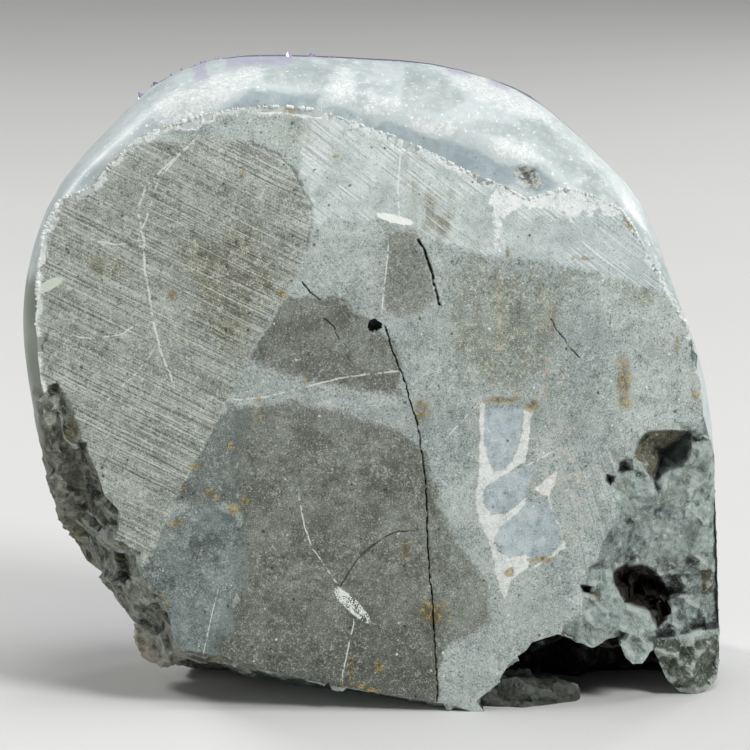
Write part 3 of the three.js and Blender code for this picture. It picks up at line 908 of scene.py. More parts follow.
PALE_BAND = [(-15.8, 107.2), (-6.3, 107.2), (2.2, 108), (5.4, 106), (9.6, 105), (16, 102.3), (26.6, 99.5),
             (39.3, 98), (47.8, 96.5), (57.5, 93), (90, 84), (90, 160), (-15.8, 160)]


def beside_line(spots, line):
    nearest = np.full(len(spots), FAR)
    side = np.ones(len(spots))
    for first, last in zip(line, line[1:]):
        along = np.subtract(last, first)
        offset = spots - first
        share = np.clip(offset @ along / (along @ along), 0, 1)
        gap = np.linalg.norm(offset - share[:, None] * along, axis=1)
        closer = gap < nearest
        nearest[closer] = gap[closer]
        side[closer] = np.sign(offset[closer, 0] * along[1] - offset[closer, 1] * along[0])
    return nearest, side


def put_lines(piece, spots, name, lines):
    nearest = np.full(len(spots), FAR)
    in_widths = np.full(len(spots), 9.0)
    for width, line in lines:
        gap, side = beside_line(spots, line)
        closer = gap < nearest
        nearest[closer] = gap[closer]
        in_widths[closer] = (side * gap / width)[closer]
    put_attribute(piece, name, in_widths)
    put_attribute(piece, name + "_near", 1 - ramp(nearest, 1.2, 2))


for name, lines in VEINS.items():
    put_lines(basalt, flat_places, name, lines)
put_attribute(basalt, "coarse", patch(flat_places, COARSE_FACET, 3))
put_attribute(basalt, "band", patch(flat_places, PALE_BAND, 3))
print("veins:", sum(len(lines) for lines in VEINS.values()))

# %% Shader shapes
def vein(name, wobble):
    away = abs(tone.attribute(name) + wobble)
    return (1 - away.step(0.2, 1.1)) * tone.attribute(name + "_near").step(0.2, 0.6)


def blob(x, z, middle, size, turn):
    cosine, sine = math.cos(math.radians(turn)), math.sin(math.radians(turn))
    dx, dz = x - middle[0], z - middle[1]
    along = (dx * cosine + dz * sine) / size[0]
    aside = (dz * cosine - dx * sine) / size[1]
    return 1 - (along * along + aside * aside).step(0.75, 1.1)


def brushed(x, z, turn, along, aside, rough=0.5):
    cosine, sine = math.cos(math.radians(turn)), math.sin(math.radians(turn))
    run = (x * cosine + z * sine) * (1 / along)
    rise = (z * cosine - x * sine) * (1 / aside)
    return x.node("ShaderNodeCombineXYZ", inputs={0: run, 1: rise}).speckle(1, 2, rough)


print("shader shapes ready")

# %% [markdown]
# ## Basalt: the finish
#
# The colours are laid down as the rock got them: altered grey first, then fresh cores, the blade's lines,
# the ground band, the broken faces, veins, rust and last the fine grain that runs through it all. The saw
# lines are noise drawn out along the way that the blade went. Their dark and pale stripes are partly the
# scratches' own tone and partly painted shade and light of the saw ridges. The broken faces also carry
# painted shade in creases, in hollows and on faces turned from the light.

# %% Basalt grounds
finish, shader, tone = new_finish("basalt_sawn_and_broken")
place = millimetres(tone)
x, z = place.node("ShaderNodeSeparateXYZ", inputs={0: place}, out=("X", "Z"))
sway = place.speckle(7, 2) - 0.5
fray = place.speckle(1.3, 3, 0.65) - 0.5
drift_x = x + sway * 1.4 + fray * 0.7
drift_z = z + sway * 1.3 - fray * 0.7
cloud = place.speckle(17, 2, 0.6)
blotch = place.speckle(7, 3, 0.7)
mottle = place.speckle(3.2, 2, 0.7)
grain = place.speckle(0.36, 2, 0.75)
ragged = (blotch - 0.5) * 1.5 + (mottle - 0.5) * 1.0 + fray * 0.5

coarse = (tone.attribute("coarse") + fray * 0.3).step(0.42, 0.58)
band = (tone.attribute("band") + fray * 0.4 + sway * 0.3).step(0.4, 0.6) * (1 - coarse)
inner = (1 - coarse) * (1 - band)

brown = (tone.attribute("brown") + ragged * 0.9).step(0.32, 0.62) * inner
slate = (tone.attribute("slate") + ragged).step(0.34, 0.68) * inner
upright = brushed(x, z, 84, 12, 2.6) - 0.5
olive = (tone.attribute("olive") * 0.9 + ragged * 0.9 + upright).step(0.4, 0.95)
fragment = (tone.attribute("fragment") + fray * 0.5).step(0.35, 0.65)
colour = cloud.step(0.35, 0.65).mixed(rgb("98a3a0"), rgb("b4beba"))
colour = ((1 - blotch.step(0.32, 0.5)) * 0.4).mixed(colour, rgb("828a84"))
brown_colour = blotch.step(0.35, 0.65).mixed(rgb("5f6157"), rgb("7e8279"))
brown_colour = ((1 - z.step(4, 34)) * 0.62).mixed(brown_colour, rgb("45453a"))
faded_core = (x.step(1, 6) * z.step(84, 90) * 0.4).over(x.step(12, 18) * 0.45)
brown_colour = faded_core.mixed(brown_colour, rgb("98a096"))
colour = (brown * 0.92).mixed(colour, brown_colour)
slate_colour = (blotch * 0.7 + cloud * 0.3).step(0.36, 0.62).mixed(rgb("4d5755"), rgb("7d8a88"))
slate_colour = (z.step(43, 47) * 0.5).mixed(slate_colour, rgb("5d6058"))
colour = (slate * 0.85).mixed(colour, slate_colour)
colour = (coarse * 0.85).mixed(colour, blotch.step(0.3, 0.7).mixed(rgb("8b9087"), rgb("aeb3aa")))
colour = (band * 0.88).mixed(colour, blotch.step(0.25, 0.7).mixed(rgb("b0bbb8"), rgb("d6dfdd")))
olive_colour = mottle.step(0.35, 0.65).mixed(rgb("61614f"), rgb("8f8f78"))
colour = (olive * (0.62 + coarse * 0.22 + band * 0.2)).mixed(colour, olive_colour)
colour = (band * x.step(28, 48) * 0.45).mixed(colour, rgb("a6b5b8"))
colour = (fragment * 0.85).mixed(colour, mottle.step(0.3, 0.7).mixed(rgb("a3b1b6"), rgb("c0ccd1")))
print("basalt grounds:", len(finish.node_tree.nodes), "nodes")

# %% Blade lines and polish lines
SAW_FALL = -26
BAND_FALL = -38
POLISH_FALL = 76
saw = brushed(x, z + sway * 0.5, SAW_FALL, 38, 0.46, 0.7)
fine_saw = brushed(x, z, BAND_FALL, 15, 0.42)
polish = brushed(x + z * z * 0.006, z, POLISH_FALL, 30, 0.55)
polished = x.step(36, 46) * (1 - z.step(52, 66)) * inner
patchy = cloud.step(0.3, 0.6) * 0.5 + 0.5
# Dark and pale stripes on the coarse saw lines: partly their own tone, partly painted ridge shade and light.
saw_ridge_shade = coarse * (1 - saw.step(0.34, 0.5)) * patchy
saw_ridge_light = coarse * saw.step(0.5, 0.68) * patchy
streaky = band * blotch.step(0.4, 0.55)
colour = (saw_ridge_shade * 0.7).mixed(colour, rgb("54574e"))
colour = (saw_ridge_light * 0.6).mixed(colour, rgb("d3d9d4"))
colour = (streaky * fine_saw.step(0.52, 0.66) * 0.65).mixed(colour, rgb("e9eeec"))
colour = (streaky * (1 - fine_saw.step(0.34, 0.46)) * 0.5).mixed(colour, rgb("858e89"))
colour = (polished * polish.step(0.5, 0.68) * 0.4).mixed(colour, rgb("c6d0cf"))
colour = (polished * (1 - polish.step(0.34, 0.47)) * 0.4).mixed(colour, rgb("75807e"))
print("saw lines fall", -SAW_FALL, "degrees")

# %% Grain and specks
broken_here = tone.attribute("broken").step(0.25, 0.6)
solid_here = 1 - broken_here
salty = 0.85 - (fragment + band) * 0.35
speck = fray * 0.5 + (mottle - 0.5) * 0.25 + (grain - 0.5) * 1.1
colour = (speck.step(0.02, 0.24) * salty * (0.8 - brown * 0.3 - slate * 0.35)).mixed(colour, rgb("dce1db"))
colour = ((1 - speck.step(-0.24, -0.02)) * salty * 0.74).mixed(colour, rgb("2e312a"))
DOT_SPACING = 2.4
dot_inputs = {"Vector": place, "Scale": 1 / DOT_SPACING}
near_dot, dot_kind = place.node("ShaderNodeTexVoronoi", inputs=dot_inputs, out=("Distance", "Color"))
dot_kind = dot_kind.node("ShaderNodeSeparateColor", inputs={0: dot_kind})
dot = 1 - (near_dot + fray * 0.5).step(0.04, 0.14)
colour = (dot * dot_kind.step(0.55, 0.6) * 0.75).mixed(colour, rgb("2b2e28"))
colour = (dot * (1 - dot_kind.step(0.2, 0.25)) * inner * 0.8).mixed(colour, rgb("e4e8e2"))
print("basalt grain:", len(finish.node_tree.nodes), "nodes")

# %% Broken faces
scar = place.speckle(6, 3, 0.72)
scuffs_and_crease_shade = tone.attribute("scuffs_and_crease_shade")
left_side = 1 - x.step(-34, -20)
flake_here = tone.attribute("flake_tone")
scar_colour = (scar * 0.7 + flake_here * 0.3).step(0.25, 0.7).mixed(rgb("65716d"), rgb("9aa7a3"))
scar_colour = (blotch.step(0.52, 0.7) * 0.5).mixed(scar_colour, rgb("7d785c"))
left_colour = scar.step(0.32, 0.66).mixed(rgb("46483f"), rgb("91948a"))
left_colour = (blotch.step(0.52, 0.64) * 0.55).mixed(left_colour, rgb("6d6746"))
left_colour = (mottle.step(0.58, 0.72) * 0.5).mixed(left_colour, rgb("a3a497"))
scar_colour = (left_side * 0.95).mixed(scar_colour, left_colour)
FACE_COLOURS = {
    "moss_face": ("3f4843", "87938f"),
    "foot_face": ("262b25", "60675c"),
    "ochre_face": ("3a392d", "6b6a58"),
    # Painted shade for the faces turned from the light and for the gaps.
    "shaded_face": ("1c2020", "3e4444"),
    "pale_face": ("65716c", "9fada8"),
    # Painted shade in the deep hollow of the corner.
    "shaded_cavity": ("0b0a08", "2b2720"),
    # Painted shade on the underside in the hollow under the corner.
    "underside_shade": ("100f0e", "262420"),
    "ledge": ("3f423c", "6d716a"),
}
CRISP_FACES = ("ochre_face", "shaded_face", "shaded_cavity")
for name, (low_tone, high_tone) in FACE_COLOURS.items():
    frayed = 0.5 if name in CRISP_FACES else 1
    here = (tone.attribute(name) + (fray * 1.1 + (mottle - 0.5) * 0.9) * frayed).step(0.34, 0.62)
    tint = (scar * 0.7 + flake_here * 0.3).step(0.25, 0.7)
    scar_colour = here.mixed(scar_colour, tint.mixed(rgb(low_tone), rgb(high_tone)))
scuffed = (scuffs_and_crease_shade + fray * 0.3).step(0.6, 0.82)
# Painted shade: creases, where the surface lies behind its neighbours, are darkened as if shade fell there.
crease_shade_mask = 1 - (scuffs_and_crease_shade + fray * 0.3).step(0.18, 0.44)
open_face = 1 - tone.attribute("shaded_cavity").over(tone.attribute("shaded_face"))
open_face = open_face - tone.attribute("underside_shade").over(tone.attribute("ledge")) * 0.85
scar_colour = (scuffed * (0.55 - left_side * 0.3) * open_face).mixed(scar_colour, rgb("bcc5c0"))
scar_colour = (crease_shade_mask * 0.7).mixed(scar_colour, rgb("1f211d"))
crumb = grain - 0.5 + fray
scar_colour = (crumb.step(0.06, 0.28) * 0.42 * open_face).mixed(scar_colour, rgb("d5dbd5"))
crumbly = 0.5 + tone.attribute("moss_face") * 0.3
scar_colour = ((1 - crumb.step(-0.3, -0.04)) * crumbly).mixed(scar_colour, rgb("1e201c"))
colour = broken_here.mixed(colour, scar_colour)
print("broken faces:", ", ".join(FACE_COLOURS))

# %% Veins, blebs, rust, cracks and the painted shade of a saw step
wobble = fray * 2 + sway * 2
fine_veins = vein("vein_a", wobble).over(vein("vein_b", wobble)) * (mottle + fray).step(0.36, 0.52)
field = tone.attribute("cement") + fray * 0.5 + (mottle - 0.5) * 0.5
cement = field.step(0.46, 0.7)
cement_edge = field.step(0.3, 0.5)
pink = vein("pink_vein", fray * 3 + sway * 4) * (mottle + fray).step(0.46, 0.6)
pink_dots = blob(x, z, (41, 52), (9, 15), 0) * (mottle * 0.5 + fray + 0.25).step(0.6, 0.7)
chalk = (grain * 0.6 + mottle * 0.4).step(0.34, 0.6)
edge_colour = blotch.step(0.4, 0.6).mixed(rgb("c4b0a0"), rgb("b9b08a"))
colour = (cement_edge * 0.2 * solid_here).mixed(colour, edge_colour)
colour = (cement * 0.9 * solid_here).mixed(colour, chalk.mixed(rgb("bfc7c5"), rgb("ecefec")))
colour = (fine_veins * 0.8 * solid_here).mixed(colour, rgb("e2e5df"))
colour = (pink.over(pink_dots * 0.7) * 0.6 * solid_here).mixed(colour, rgb("c4a490"))
bleb = blob(drift_x, drift_z, (-4.9, 23.6), (5.6, 1.5), -48)
lens = blob(x + fray, z + fray, (4.2, 107.8), (4.2, 0.9), -14)
wedge = blob(x + fray, z + fray, (-69.6, 93), (3.8, 1.1), 28)
bleb_colour = (grain + fray).step(0.4, 0.52).mixed(rgb("5a5e58"), rgb("e6eae4"))
colour = bleb.mixed(colour, bleb_colour)
colour = (lens * 0.95).mixed(colour, rgb("eef2ee"))
colour = (wedge * 0.9).mixed(colour, rgb("d5ddcf"))
crust_edge = 1 - (tone.attribute("to_rind") + (blotch - 0.5) * 2.4 + fray).step(0.5, 0.95)
crust_patch = (tone.attribute("crusted") + (mottle - 0.5) * 1.7 + fray * 1.1).step(0.42, 0.75)
crusted = crust_edge.over(crust_patch) * solid_here
crust_rust = blotch.step(0.6, 0.68)
crust_colour = crust_rust.mixed(chalk.mixed(rgb("cdd4d1"), rgb("f1f5f3")), rgb("9c8150"))
colour = (crusted * 0.85).mixed(colour, crust_colour)
rust = (tone.attribute("rust") + (mottle - 0.5) * 1.6 + fray * 2.2 + (grain - 0.5) * 0.9).step(0.5, 1)
rust_colour = (grain + fray * 1.6).step(0.36, 0.8).mixed(rgb("57471f"), rgb("b3a06a"))
colour = (rust * 0.75 * solid_here).mixed(colour, rust_colour)
# Cracks are darkened; along the edge of the coarse saw step the dark line is painted shade.
crack_and_step_shade = tone.attribute("crack_and_step_shade").step(0.1, 0.7)
pits = (1 - (fray + 0.5).step(0.22, 0.28)) * solid_here
colour = (crack_and_step_shade.over(pits * 0.6) * 0.95).mixed(colour, rgb("12130d"))
print("basalt finish:", len(finish.node_tree.nodes), "nodes")

# %% Join the basalt finish
feed(shader, "Base Color", colour)
feed(shader, "Roughness", 0.95 - cement * 0.15 - tone.attribute("shaded_cavity") * 0.6)
sawn_coarse = tone.attribute("coarse").step(0.42, 0.58)
sawn_fine = tone.attribute("band").step(0.4, 0.6) * 0.35
height = grain * 0.5 + saw * sawn_coarse + fine_saw * sawn_fine
bump = tone.node("ShaderNodeBump", inputs={"Strength": 0.6, "Distance": 0.35 * MM, "Height": height})
feed(shader, "Normal", bump)
shader.inputs["Specular IOR Level"].default_value = 0.3
basalt.data.materials.append(finish)
slab.data.materials.append(finish)
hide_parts("basalt_matrix")
print("basalt dressed:", len(basalt.data.polygons), "faces")

# %% [markdown]
# ## Agate rind: shape
#
# The rind was ground and polished, so its copy is remeshed and its outer skin smoothed until the facets
# of the solid are gone. Its hidden faces are pressed a little into the basalt and the crust, because in
# the real stone the three have grown together with no gap.

# %% Rind
SHARP_TURN = math.radians(38)
FREE_GAP = 1.1 * MM
POLISH_ROUNDS = 24
BESIDE_ROUNDS = 14
GROWN_GAP = 0.5 * MM
GROWN_IN = 0.25 * MM
LEAST_GAP = 0.1 * MM
SCAR_DEPTH = 0.5
LEFT_SCAR = [(37, 383), (46, 383), (62, 400), (80, 440), (100, 480), (130, 560), (150, 600), (115, 640),
             (95, 600), (72, 560), (59, 520), (50, 480), (44, 450), (39, 415)]
agate = copy_of("agate_rind", "agate_dressed")
remesh(agate, mode="SHARP", octree_depth=8, scale=0.56, sharpness=1, use_remove_disconnected=True)
places = places_of(agate)
to_basalt = gaps_to(surfaces["basalt_matrix"], places)
to_crust = gaps_to(surfaces["amethyst_crystals"], places)
free = np.minimum(to_basalt, to_crust) > FREE_GAP
shape = bmesh.new()
shape.from_mesh(agate.data)
shape.verts.ensure_lookup_table()
outer = [shape.verts[i] for i in np.nonzero(free)[0]]
every_way = {"factor": 0.5, "use_axis_x": True, "use_axis_y": True, "use_axis_z": True}
for _ in range(POLISH_ROUNDS):
    bmesh.ops.smooth_vert(shape, verts=outer, **every_way)
shape.to_mesh(agate.data)
shape.free()
places = places_of(agate)
for i, spot in enumerate(places):
    for node, gap in (("basalt_matrix", to_basalt[i]), ("amethyst_crystals", to_crust[i])):
        if gap < GROWN_GAP:
            near = surfaces[node].find_nearest(Vector(spot))[0]
            places[i] += (np.array(near) - spot) * (1 + GROWN_IN / max(gap, LEAST_GAP))
            break
places /= MM
moved = onto_seam(places)
places[:, 2] = np.maximum(places[:, 2], 0)
put_places(agate, places * MM)
to_seam = np.array([seam.find(Vector(spot) * MM)[2] for spot in places]) / MM
rind_pixels = pixels_of(places)
scarred = patch(rind_pixels, LEFT_SCAR, 6) * ramp(to_seam, 0.3, 1.5)
normals = normals_of(agate)
for i in np.nonzero(scarred > 0.02)[0]:
    spot = Vector(places[i])
    rough = tilted(spot, FACETS) - SCAR_DEPTH
    places[i] += normals[i] * rough * scarred[i]
put_places(agate, places * MM)
shape = bmesh.new()
shape.from_mesh(agate.data)
shape.verts.ensure_lookup_table()
beside = (to_seam > 0.6) & (to_seam < 6) & (to_basalt > 0.6 * MM) & (scarred < 0.1)
beside = [shape.verts[i] for i in np.nonzero(beside)[0]]
for _ in range(BESIDE_ROUNDS):
    bmesh.ops.smooth_vert(shape, verts=beside, **every_way)
for face in shape.faces:
    face.smooth = True
for edge in shape.edges:
    edge.smooth = edge.calc_face_angle(0) < SHARP_TURN
shape.to_mesh(agate.data)
shape.free()
RIND_REGIONS = {
    "agate_lens": [[(213, 112), (237, 99), (253, 88), (272, 91), (291, 93), (321, 93), (318, 101),
                    (345, 107), (357, 112), (357, 120), (330, 114), (312, 110), (281, 108), (234, 112)],
                   [(364, 117), (400, 124), (425, 134), (445, 139), (475, 149), (503, 164), (543, 169),
                    (559, 183), (538, 194), (516, 186), (476, 180), (448, 163), (416, 148), (382, 137),
                    (366, 128)],
                   [(168, 128), (180, 120), (199, 117), (200, 122), (172, 133)]],
    "clear_quartz": [[(262, 72), (282, 66), (314, 65), (333, 69), (334, 79), (323, 91), (291, 85),
                      (264, 82)],
                     [(463, 126), (480, 118), (526, 126), (560, 150), (540, 160), (500, 140)],
                     [(510, 115), (560, 118), (610, 160), (655, 215), (705, 340), (680, 330), (640, 232),
                      (590, 195), (550, 165)],
                     [(405, 66), (450, 80), (470, 100), (440, 115), (400, 105)]],
    "milky_quartz": [[(150, 100), (194, 82), (226, 71), (259, 63), (266, 68), (259, 82), (246, 87),
                      (234, 96), (207, 114), (186, 119), (160, 128)],
                     [(335, 66), (350, 66), (362, 104), (372, 96), (400, 98), (402, 114), (372, 114),
                      (358, 112), (338, 104), (326, 98)],
                     [(400, 112), (440, 118), (460, 130), (440, 138), (412, 130)],
                     [(483, 142), (500, 133), (530, 146), (545, 160), (530, 166), (500, 160)],
                     [(430, 66), (480, 72), (530, 100), (560, 125), (520, 118), (470, 95)]],
    "left_scar": [LEFT_SCAR],
    "vug_rim": [[(512, 172), (520, 167), (536, 169), (545, 180), (538, 189), (520, 187)]],
    "lilac_rim": [[(192, 64), (206, 64), (208, 78), (196, 80)],
                  [(225, 54), (292, 52), (292, 63), (226, 67)],
                  [(446, 62), (470, 66), (470, 76), (448, 74)],
                  [(490, 74), (510, 80), (508, 88), (490, 84)]],
}
for name, outlines in RIND_REGIONS.items():
    put_attribute(agate, name, patches(rind_pixels, outlines, 9))
put_attribute(agate, "layer", to_basalt / (to_basalt + to_crust))
put_attribute(agate, "rind_depth", to_basalt / MM)
print("agate cells:", len(places), "on the seam:", moved)

# %% [markdown]
# ## Agate rind: finish
#
# From the basalt outwards the rind is a thin white crust with rust in it, then smooth blue-grey agate,
# then cloudy white quartz full of glints, and a breath of lilac next to the points. The layer number on
# the mesh runs from 0 at the basalt to 1 at the crystals, so the bands follow the real layers. Low on the
# left the rind was never polished, and it is as dull and dark as the broken basalt beside it.

# %% Agate finish
finish, shader, tone = new_finish("agate_polished")
place = millimetres(tone)
x, z = place.node("ShaderNodeSeparateXYZ", inputs={0: place}, out=("X", "Z"))
layer = tone.attribute("layer")
depth = tone.attribute("rind_depth")
cloud = place.speckle(19, 3, 0.6)
wisp = place.speckle(4.5, 4, 0.7)
fleck = place.speckle(1.1, 3, 0.7)
SUGAR_SIZE = 0.42
grains = place.node("ShaderNodeTexVoronoi", inputs={"Vector": place, "Scale": 1 / SUGAR_SIZE}, out="Color")
grain = grains.node("ShaderNodeSeparateColor", inputs={0: grains})
drifted = layer + (cloud - 0.5) * 1.1 + (wisp - 0.5) * 0.3
ragged = (wisp - 0.5) * 1.5 + (fleck - 0.5) * 0.7


def region(name, fraying=1):
    return (tone.attribute(name) + ragged * fraying).step(0.36, 0.64)


lens = region("agate_lens", 0.65)
clear = region("clear_quartz", 0.8).over((cloud + (wisp - 0.5) * 0.6).step(0.55, 0.66) * 0.6)
milky_wisps = ((1 - cloud) + (wisp - 0.5) * 0.9).step(0.55, 0.8) * 0.6
milky = (tone.attribute("milky_quartz") + ragged * 0.9).step(0.2, 1).over(milky_wisps)
colour = cloud.step(0.35, 0.65).mixed(rgb("a6b2b3"), rgb("c3cccc"))
colour = (wisp.step(0.45, 0.75) * 0.55).mixed(colour, rgb("d9e0e0"))
colour = (clear * 0.8).mixed(colour, wisp.step(0.3, 0.7).mixed(rgb("929f9d"), rgb("b0bbb9")))
sugar = (grain * 0.55 + fleck * 0.7).step(0.35, 0.95)
colour = (milky * 0.8).mixed(colour, sugar.mixed(rgb("c9d1cf"), rgb("e9ecea")))
colour = (lens * 0.9).mixed(colour, wisp.step(0.3, 0.75).mixed(rgb("8e9da2"), rgb("adbbbf")))
colour = (lens * (1 - fleck.step(0.3, 0.37)) * 0.6).mixed(colour, rgb("4f5b60"))
colour = (fleck.step(0.55, 0.72) * (1 - lens) * 0.4).mixed(colour, rgb("eef1f0"))
colour = ((1 - fleck.step(0.26, 0.36)) * 0.35).mixed(colour, rgb("7f8c8e"))
colour = (region("lilac_rim") * 0.6).mixed(colour, rgb("a39bb8"))
colour = (drifted.step(0.95, 1.2) * 0.35).mixed(colour, rgb("b7b0c2"))
vug_colour = fleck.step(0.4, 0.6).mixed(rgb("57554c"), rgb("c3c6bf"))
colour = (region("vug_rim", 0.7) * 0.8).mixed(colour, vug_colour)
crusty = 1 - (depth + (wisp - 0.5) * 1.6).step(0.1, 0.5)
colour = (crusty * 0.75).mixed(colour, rgb("dfe2da"))
rust = 1 - (depth + (place.speckle(6, 4, 0.65) - 0.36) * 8).step(0, 0.8)
colour = (rust * 0.65).mixed(colour, rgb("8f7a4c"))
glint = grain.step(0.955, 0.97) * fleck.step(0.5, 0.6) * (1 - lens)
colour = (glint * 0.9).mixed(colour, rgb("ffffff"))
dull_side = (1 - x.step(-66, -62)) * (1 - (z + (wisp - 0.5) * 6).step(92, 96))
dull_foot = (1 - x.step(-52, -44)) * (1 - (z + (cloud - 0.5) * 16).step(56, 64))
colour = (dull_side * 0.9).mixed(colour, cloud.step(0.3, 0.7).mixed(rgb("71766b"), rgb("8e9489")))
foot_colour = place.speckle(7, 6, 0.7).step(0.35, 0.68).mixed(rgb("34352d"), rgb("83867b"))
colour = (dull_foot * 0.92).mixed(colour, foot_colour)
lump = (1 - z.step(16, 24)) * (1 - x.step(-30, -20))
colour = (lump * 0.8).mixed(colour, wisp.step(0.4, 0.65).mixed(rgb("8a8474"), rgb("c4beb0")))
left_colour = (wisp * 0.6 + fleck * 0.4).step(0.38, 0.62).mixed(rgb("3a3b33"), rgb("8e9184"))
left_colour = (cloud.step(0.52, 0.62) * 0.6).mixed(left_colour, rgb("6f6642"))
colour = (region("left_scar", 0.5) * 0.95).mixed(colour, left_colour)
feed(shader, "Base Color", colour)
feed(shader, "Roughness", 0.34 + wisp * 0.3 + crusty * 0.3 - glint * 0.3 + dull_foot * 0.4)
height = wisp * 0.6 + fleck * 0.4 + grain * 0.15
bump = tone.node("ShaderNodeBump", inputs={"Strength": 0.35, "Distance": 0.4 * MM, "Height": height})
feed(shader, "Normal", bump)
shader.inputs["IOR"].default_value = 1.54
shader.inputs["Coat Weight"].default_value = 0.06
shader.inputs["Coat Roughness"].default_value = 0.2
agate.data.materials.append(finish)
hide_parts("agate_rind")
print("agate finish:", len(finish.node_tree.nodes), "nodes")

# %% [markdown]
# ## Grains along the seam
#
# High on the back a thin crust of white quartz grains fills the joint between basalt and rind, with rust
# between the grains. Each grain is a small ball pushed out of shape. They follow the seam that both
# pieces end on, half sunk into it, and grow and shrink slowly along the way.

# %% Grains
SEAM_LOW = 84
GRAIN_EVERY = 4
GRAIN_SIZES = (0.15, 0.5)
BARE_SHARE = 0.3
rind_finish = finish
grain_rng = random.Random(19)
shape = bmesh.new()
for spot in seam_spots[::GRAIN_EVERY]:
    if spot.z < SEAM_LOW * MM or grain_rng.random() < BARE_SHARE:
        continue
    radius = grain_rng.uniform(*GRAIN_SIZES) * (1 + 0.7 * noise.noise(spot / (8 * MM))) * MM
    turn = Matrix.Rotation(grain_rng.random() * math.pi, 4, "X")
    stand = Matrix.Translation(wandered(spot)) @ turn
    ball = bmesh.ops.create_icosphere(shape, subdivisions=1, radius=radius, matrix=stand)
    for vert in ball["verts"]:
        vert.co += noise.noise_vector(vert.co / (0.5 * MM)) * radius * 0.4
grains_piece = new_piece(shape, "seam_grains")
finish, shader, tone = new_finish("seam_quartz")
place = millimetres(tone)
stain = (place.speckle(8, 3, 0.6) + (place.speckle(1.2, 2) - 0.5) * 0.4).step(0.56, 0.66)
chalky = place.speckle(2.5, 2).mixed(rgb("c3ccca"), rgb("eef2f0"))
feed(shader, "Base Color", (stain * 0.75).mixed(chalky, rgb("97804f")))
shader.inputs["Roughness"].default_value = 0.6
grains_piece.data.materials.append(finish)
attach(grains_piece, "root")
print("grains on the seam:", len(grains_piece.data.polygons), "faces")

# %% [markdown]
# ## A lump of quartz at the foot
#
# Low on the left a rough knob of quartz sticks out below the broken edge. It is a ball pushed about by
# noise, sunk into the stone far enough to be part of it, and flat where it meets the floor.

# %% Quartz at the foot
KNOB_AT = (168, 635, 24)
KNOB_SIZE = Vector((7.2, 6.5, 6.6))
KNOB_FACETS = ((3, 0.35), (1.5, 0.15))
KNOB_ROUGH = 0.6
shape = bmesh.new()
bmesh.ops.create_icosphere(shape, subdivisions=5, radius=1)
knob_middle = seen_at(*KNOB_AT)
for vert in shape.verts:
    spot = knob_middle + vert.co * KNOB_SIZE
    lumps = tilted(spot, KNOB_FACETS) + KNOB_ROUGH * noise.fractal(spot / 4, 1, 2.1, 4)
    spot += vert.co * lumps
    vert.co = Vector((spot.x, spot.y, max(spot.z, 0))) * MM
knob = new_piece(shape, "foot_quartz")
knob.data.materials.append(rind_finish)
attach(knob, "root")
sunk = [round(surface.find_nearest(knob_middle * MM)[3] / MM, 1) for surface in surfaces.values()]
print("quartz at the foot, gaps from its middle:", dict(zip(surfaces, sunk)))

# %% [markdown]
# ## Amethyst crust: shape
#
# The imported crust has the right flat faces, so its copy keeps them. Only the points that stick out past
# the ground rim are pulled in to it, because grinding took those off. How far a corner stands above its
# neighbours is kept on the mesh, because the tips are a deeper purple than the roots.

# %% Crust
HEART = (-0.7, 65)
RIM = [(75.2, 47), (74.6, 57), (71.5, 73.7), (66.3, 87), (58.6, 107), (46.8, 120), (32.9, 131.2),
       (15.6, 137), (-1.6, 138.6), (-27.4, 139.2), (-36, 138), (-46.7, 133.2), (-56.9, 123.4),
       (-68.3, 110.2), (-73.7, 97), (-75.7, 83.7), (-73.6, 63.7), (-68.5, 38), (-65.3, 29.2), (-58.8, 23),
       (-49, 12.8), (-36, -6), (20, -8), (70, -5), (76.6, 6), (75.4, 27.6)]
INSET_AT_DEPTH = ([0, 24, 40, 58, 88], [0, 0, 1.2, 4, 10.5])
angles = [math.atan2(z - HEART[1], x) for x, z in RIM]
reaches = [math.hypot(x, z - HEART[1]) for x, z in RIM]
order = np.argsort(angles)


def rim_reach(angle, depth):
    reach = np.interp(angle, np.array(angles)[order], np.array(reaches)[order], period=2 * math.pi)
    return reach - np.interp(depth, *INSET_AT_DEPTH)


crust = copy_of("amethyst_crystals", "amethyst_dressed")
places = places_of(crust) / MM
offset_x, offset_z = places[:, 0] - HEART[0], places[:, 2] - HEART[1]
limit = rim_reach(np.arctan2(offset_z, offset_x), places[:, 1] - SAW_FOOT)
share = np.minimum(1, limit / np.hypot(offset_x, offset_z))
places[:, 0] = HEART[0] + offset_x * share
places[:, 2] = np.maximum(HEART[1] + offset_z * share, places[:, 2].min())
put_places(crust, places * MM)
NEIGHBOURS = 9
corner_tree = KDTree(len(places))
for i, spot in enumerate(places):
    corner_tree.insert(spot, i)
corner_tree.balance()
local = [np.mean([spot[1] for spot, _, _ in corner_tree.find_range(place, NEIGHBOURS)]) for place in places]
put_attribute(crust, "tip", places[:, 1] - local)
print("pulled in:", int((share < 1).sum()), "corners")

# %% [markdown]
# ## Amethyst points: finish
#
# Clear quartz with a violet tint: pale and milky where it meets the agate, deeper purple forward, where
# the points end. Plain transmission and the refraction of quartz make it see-through.

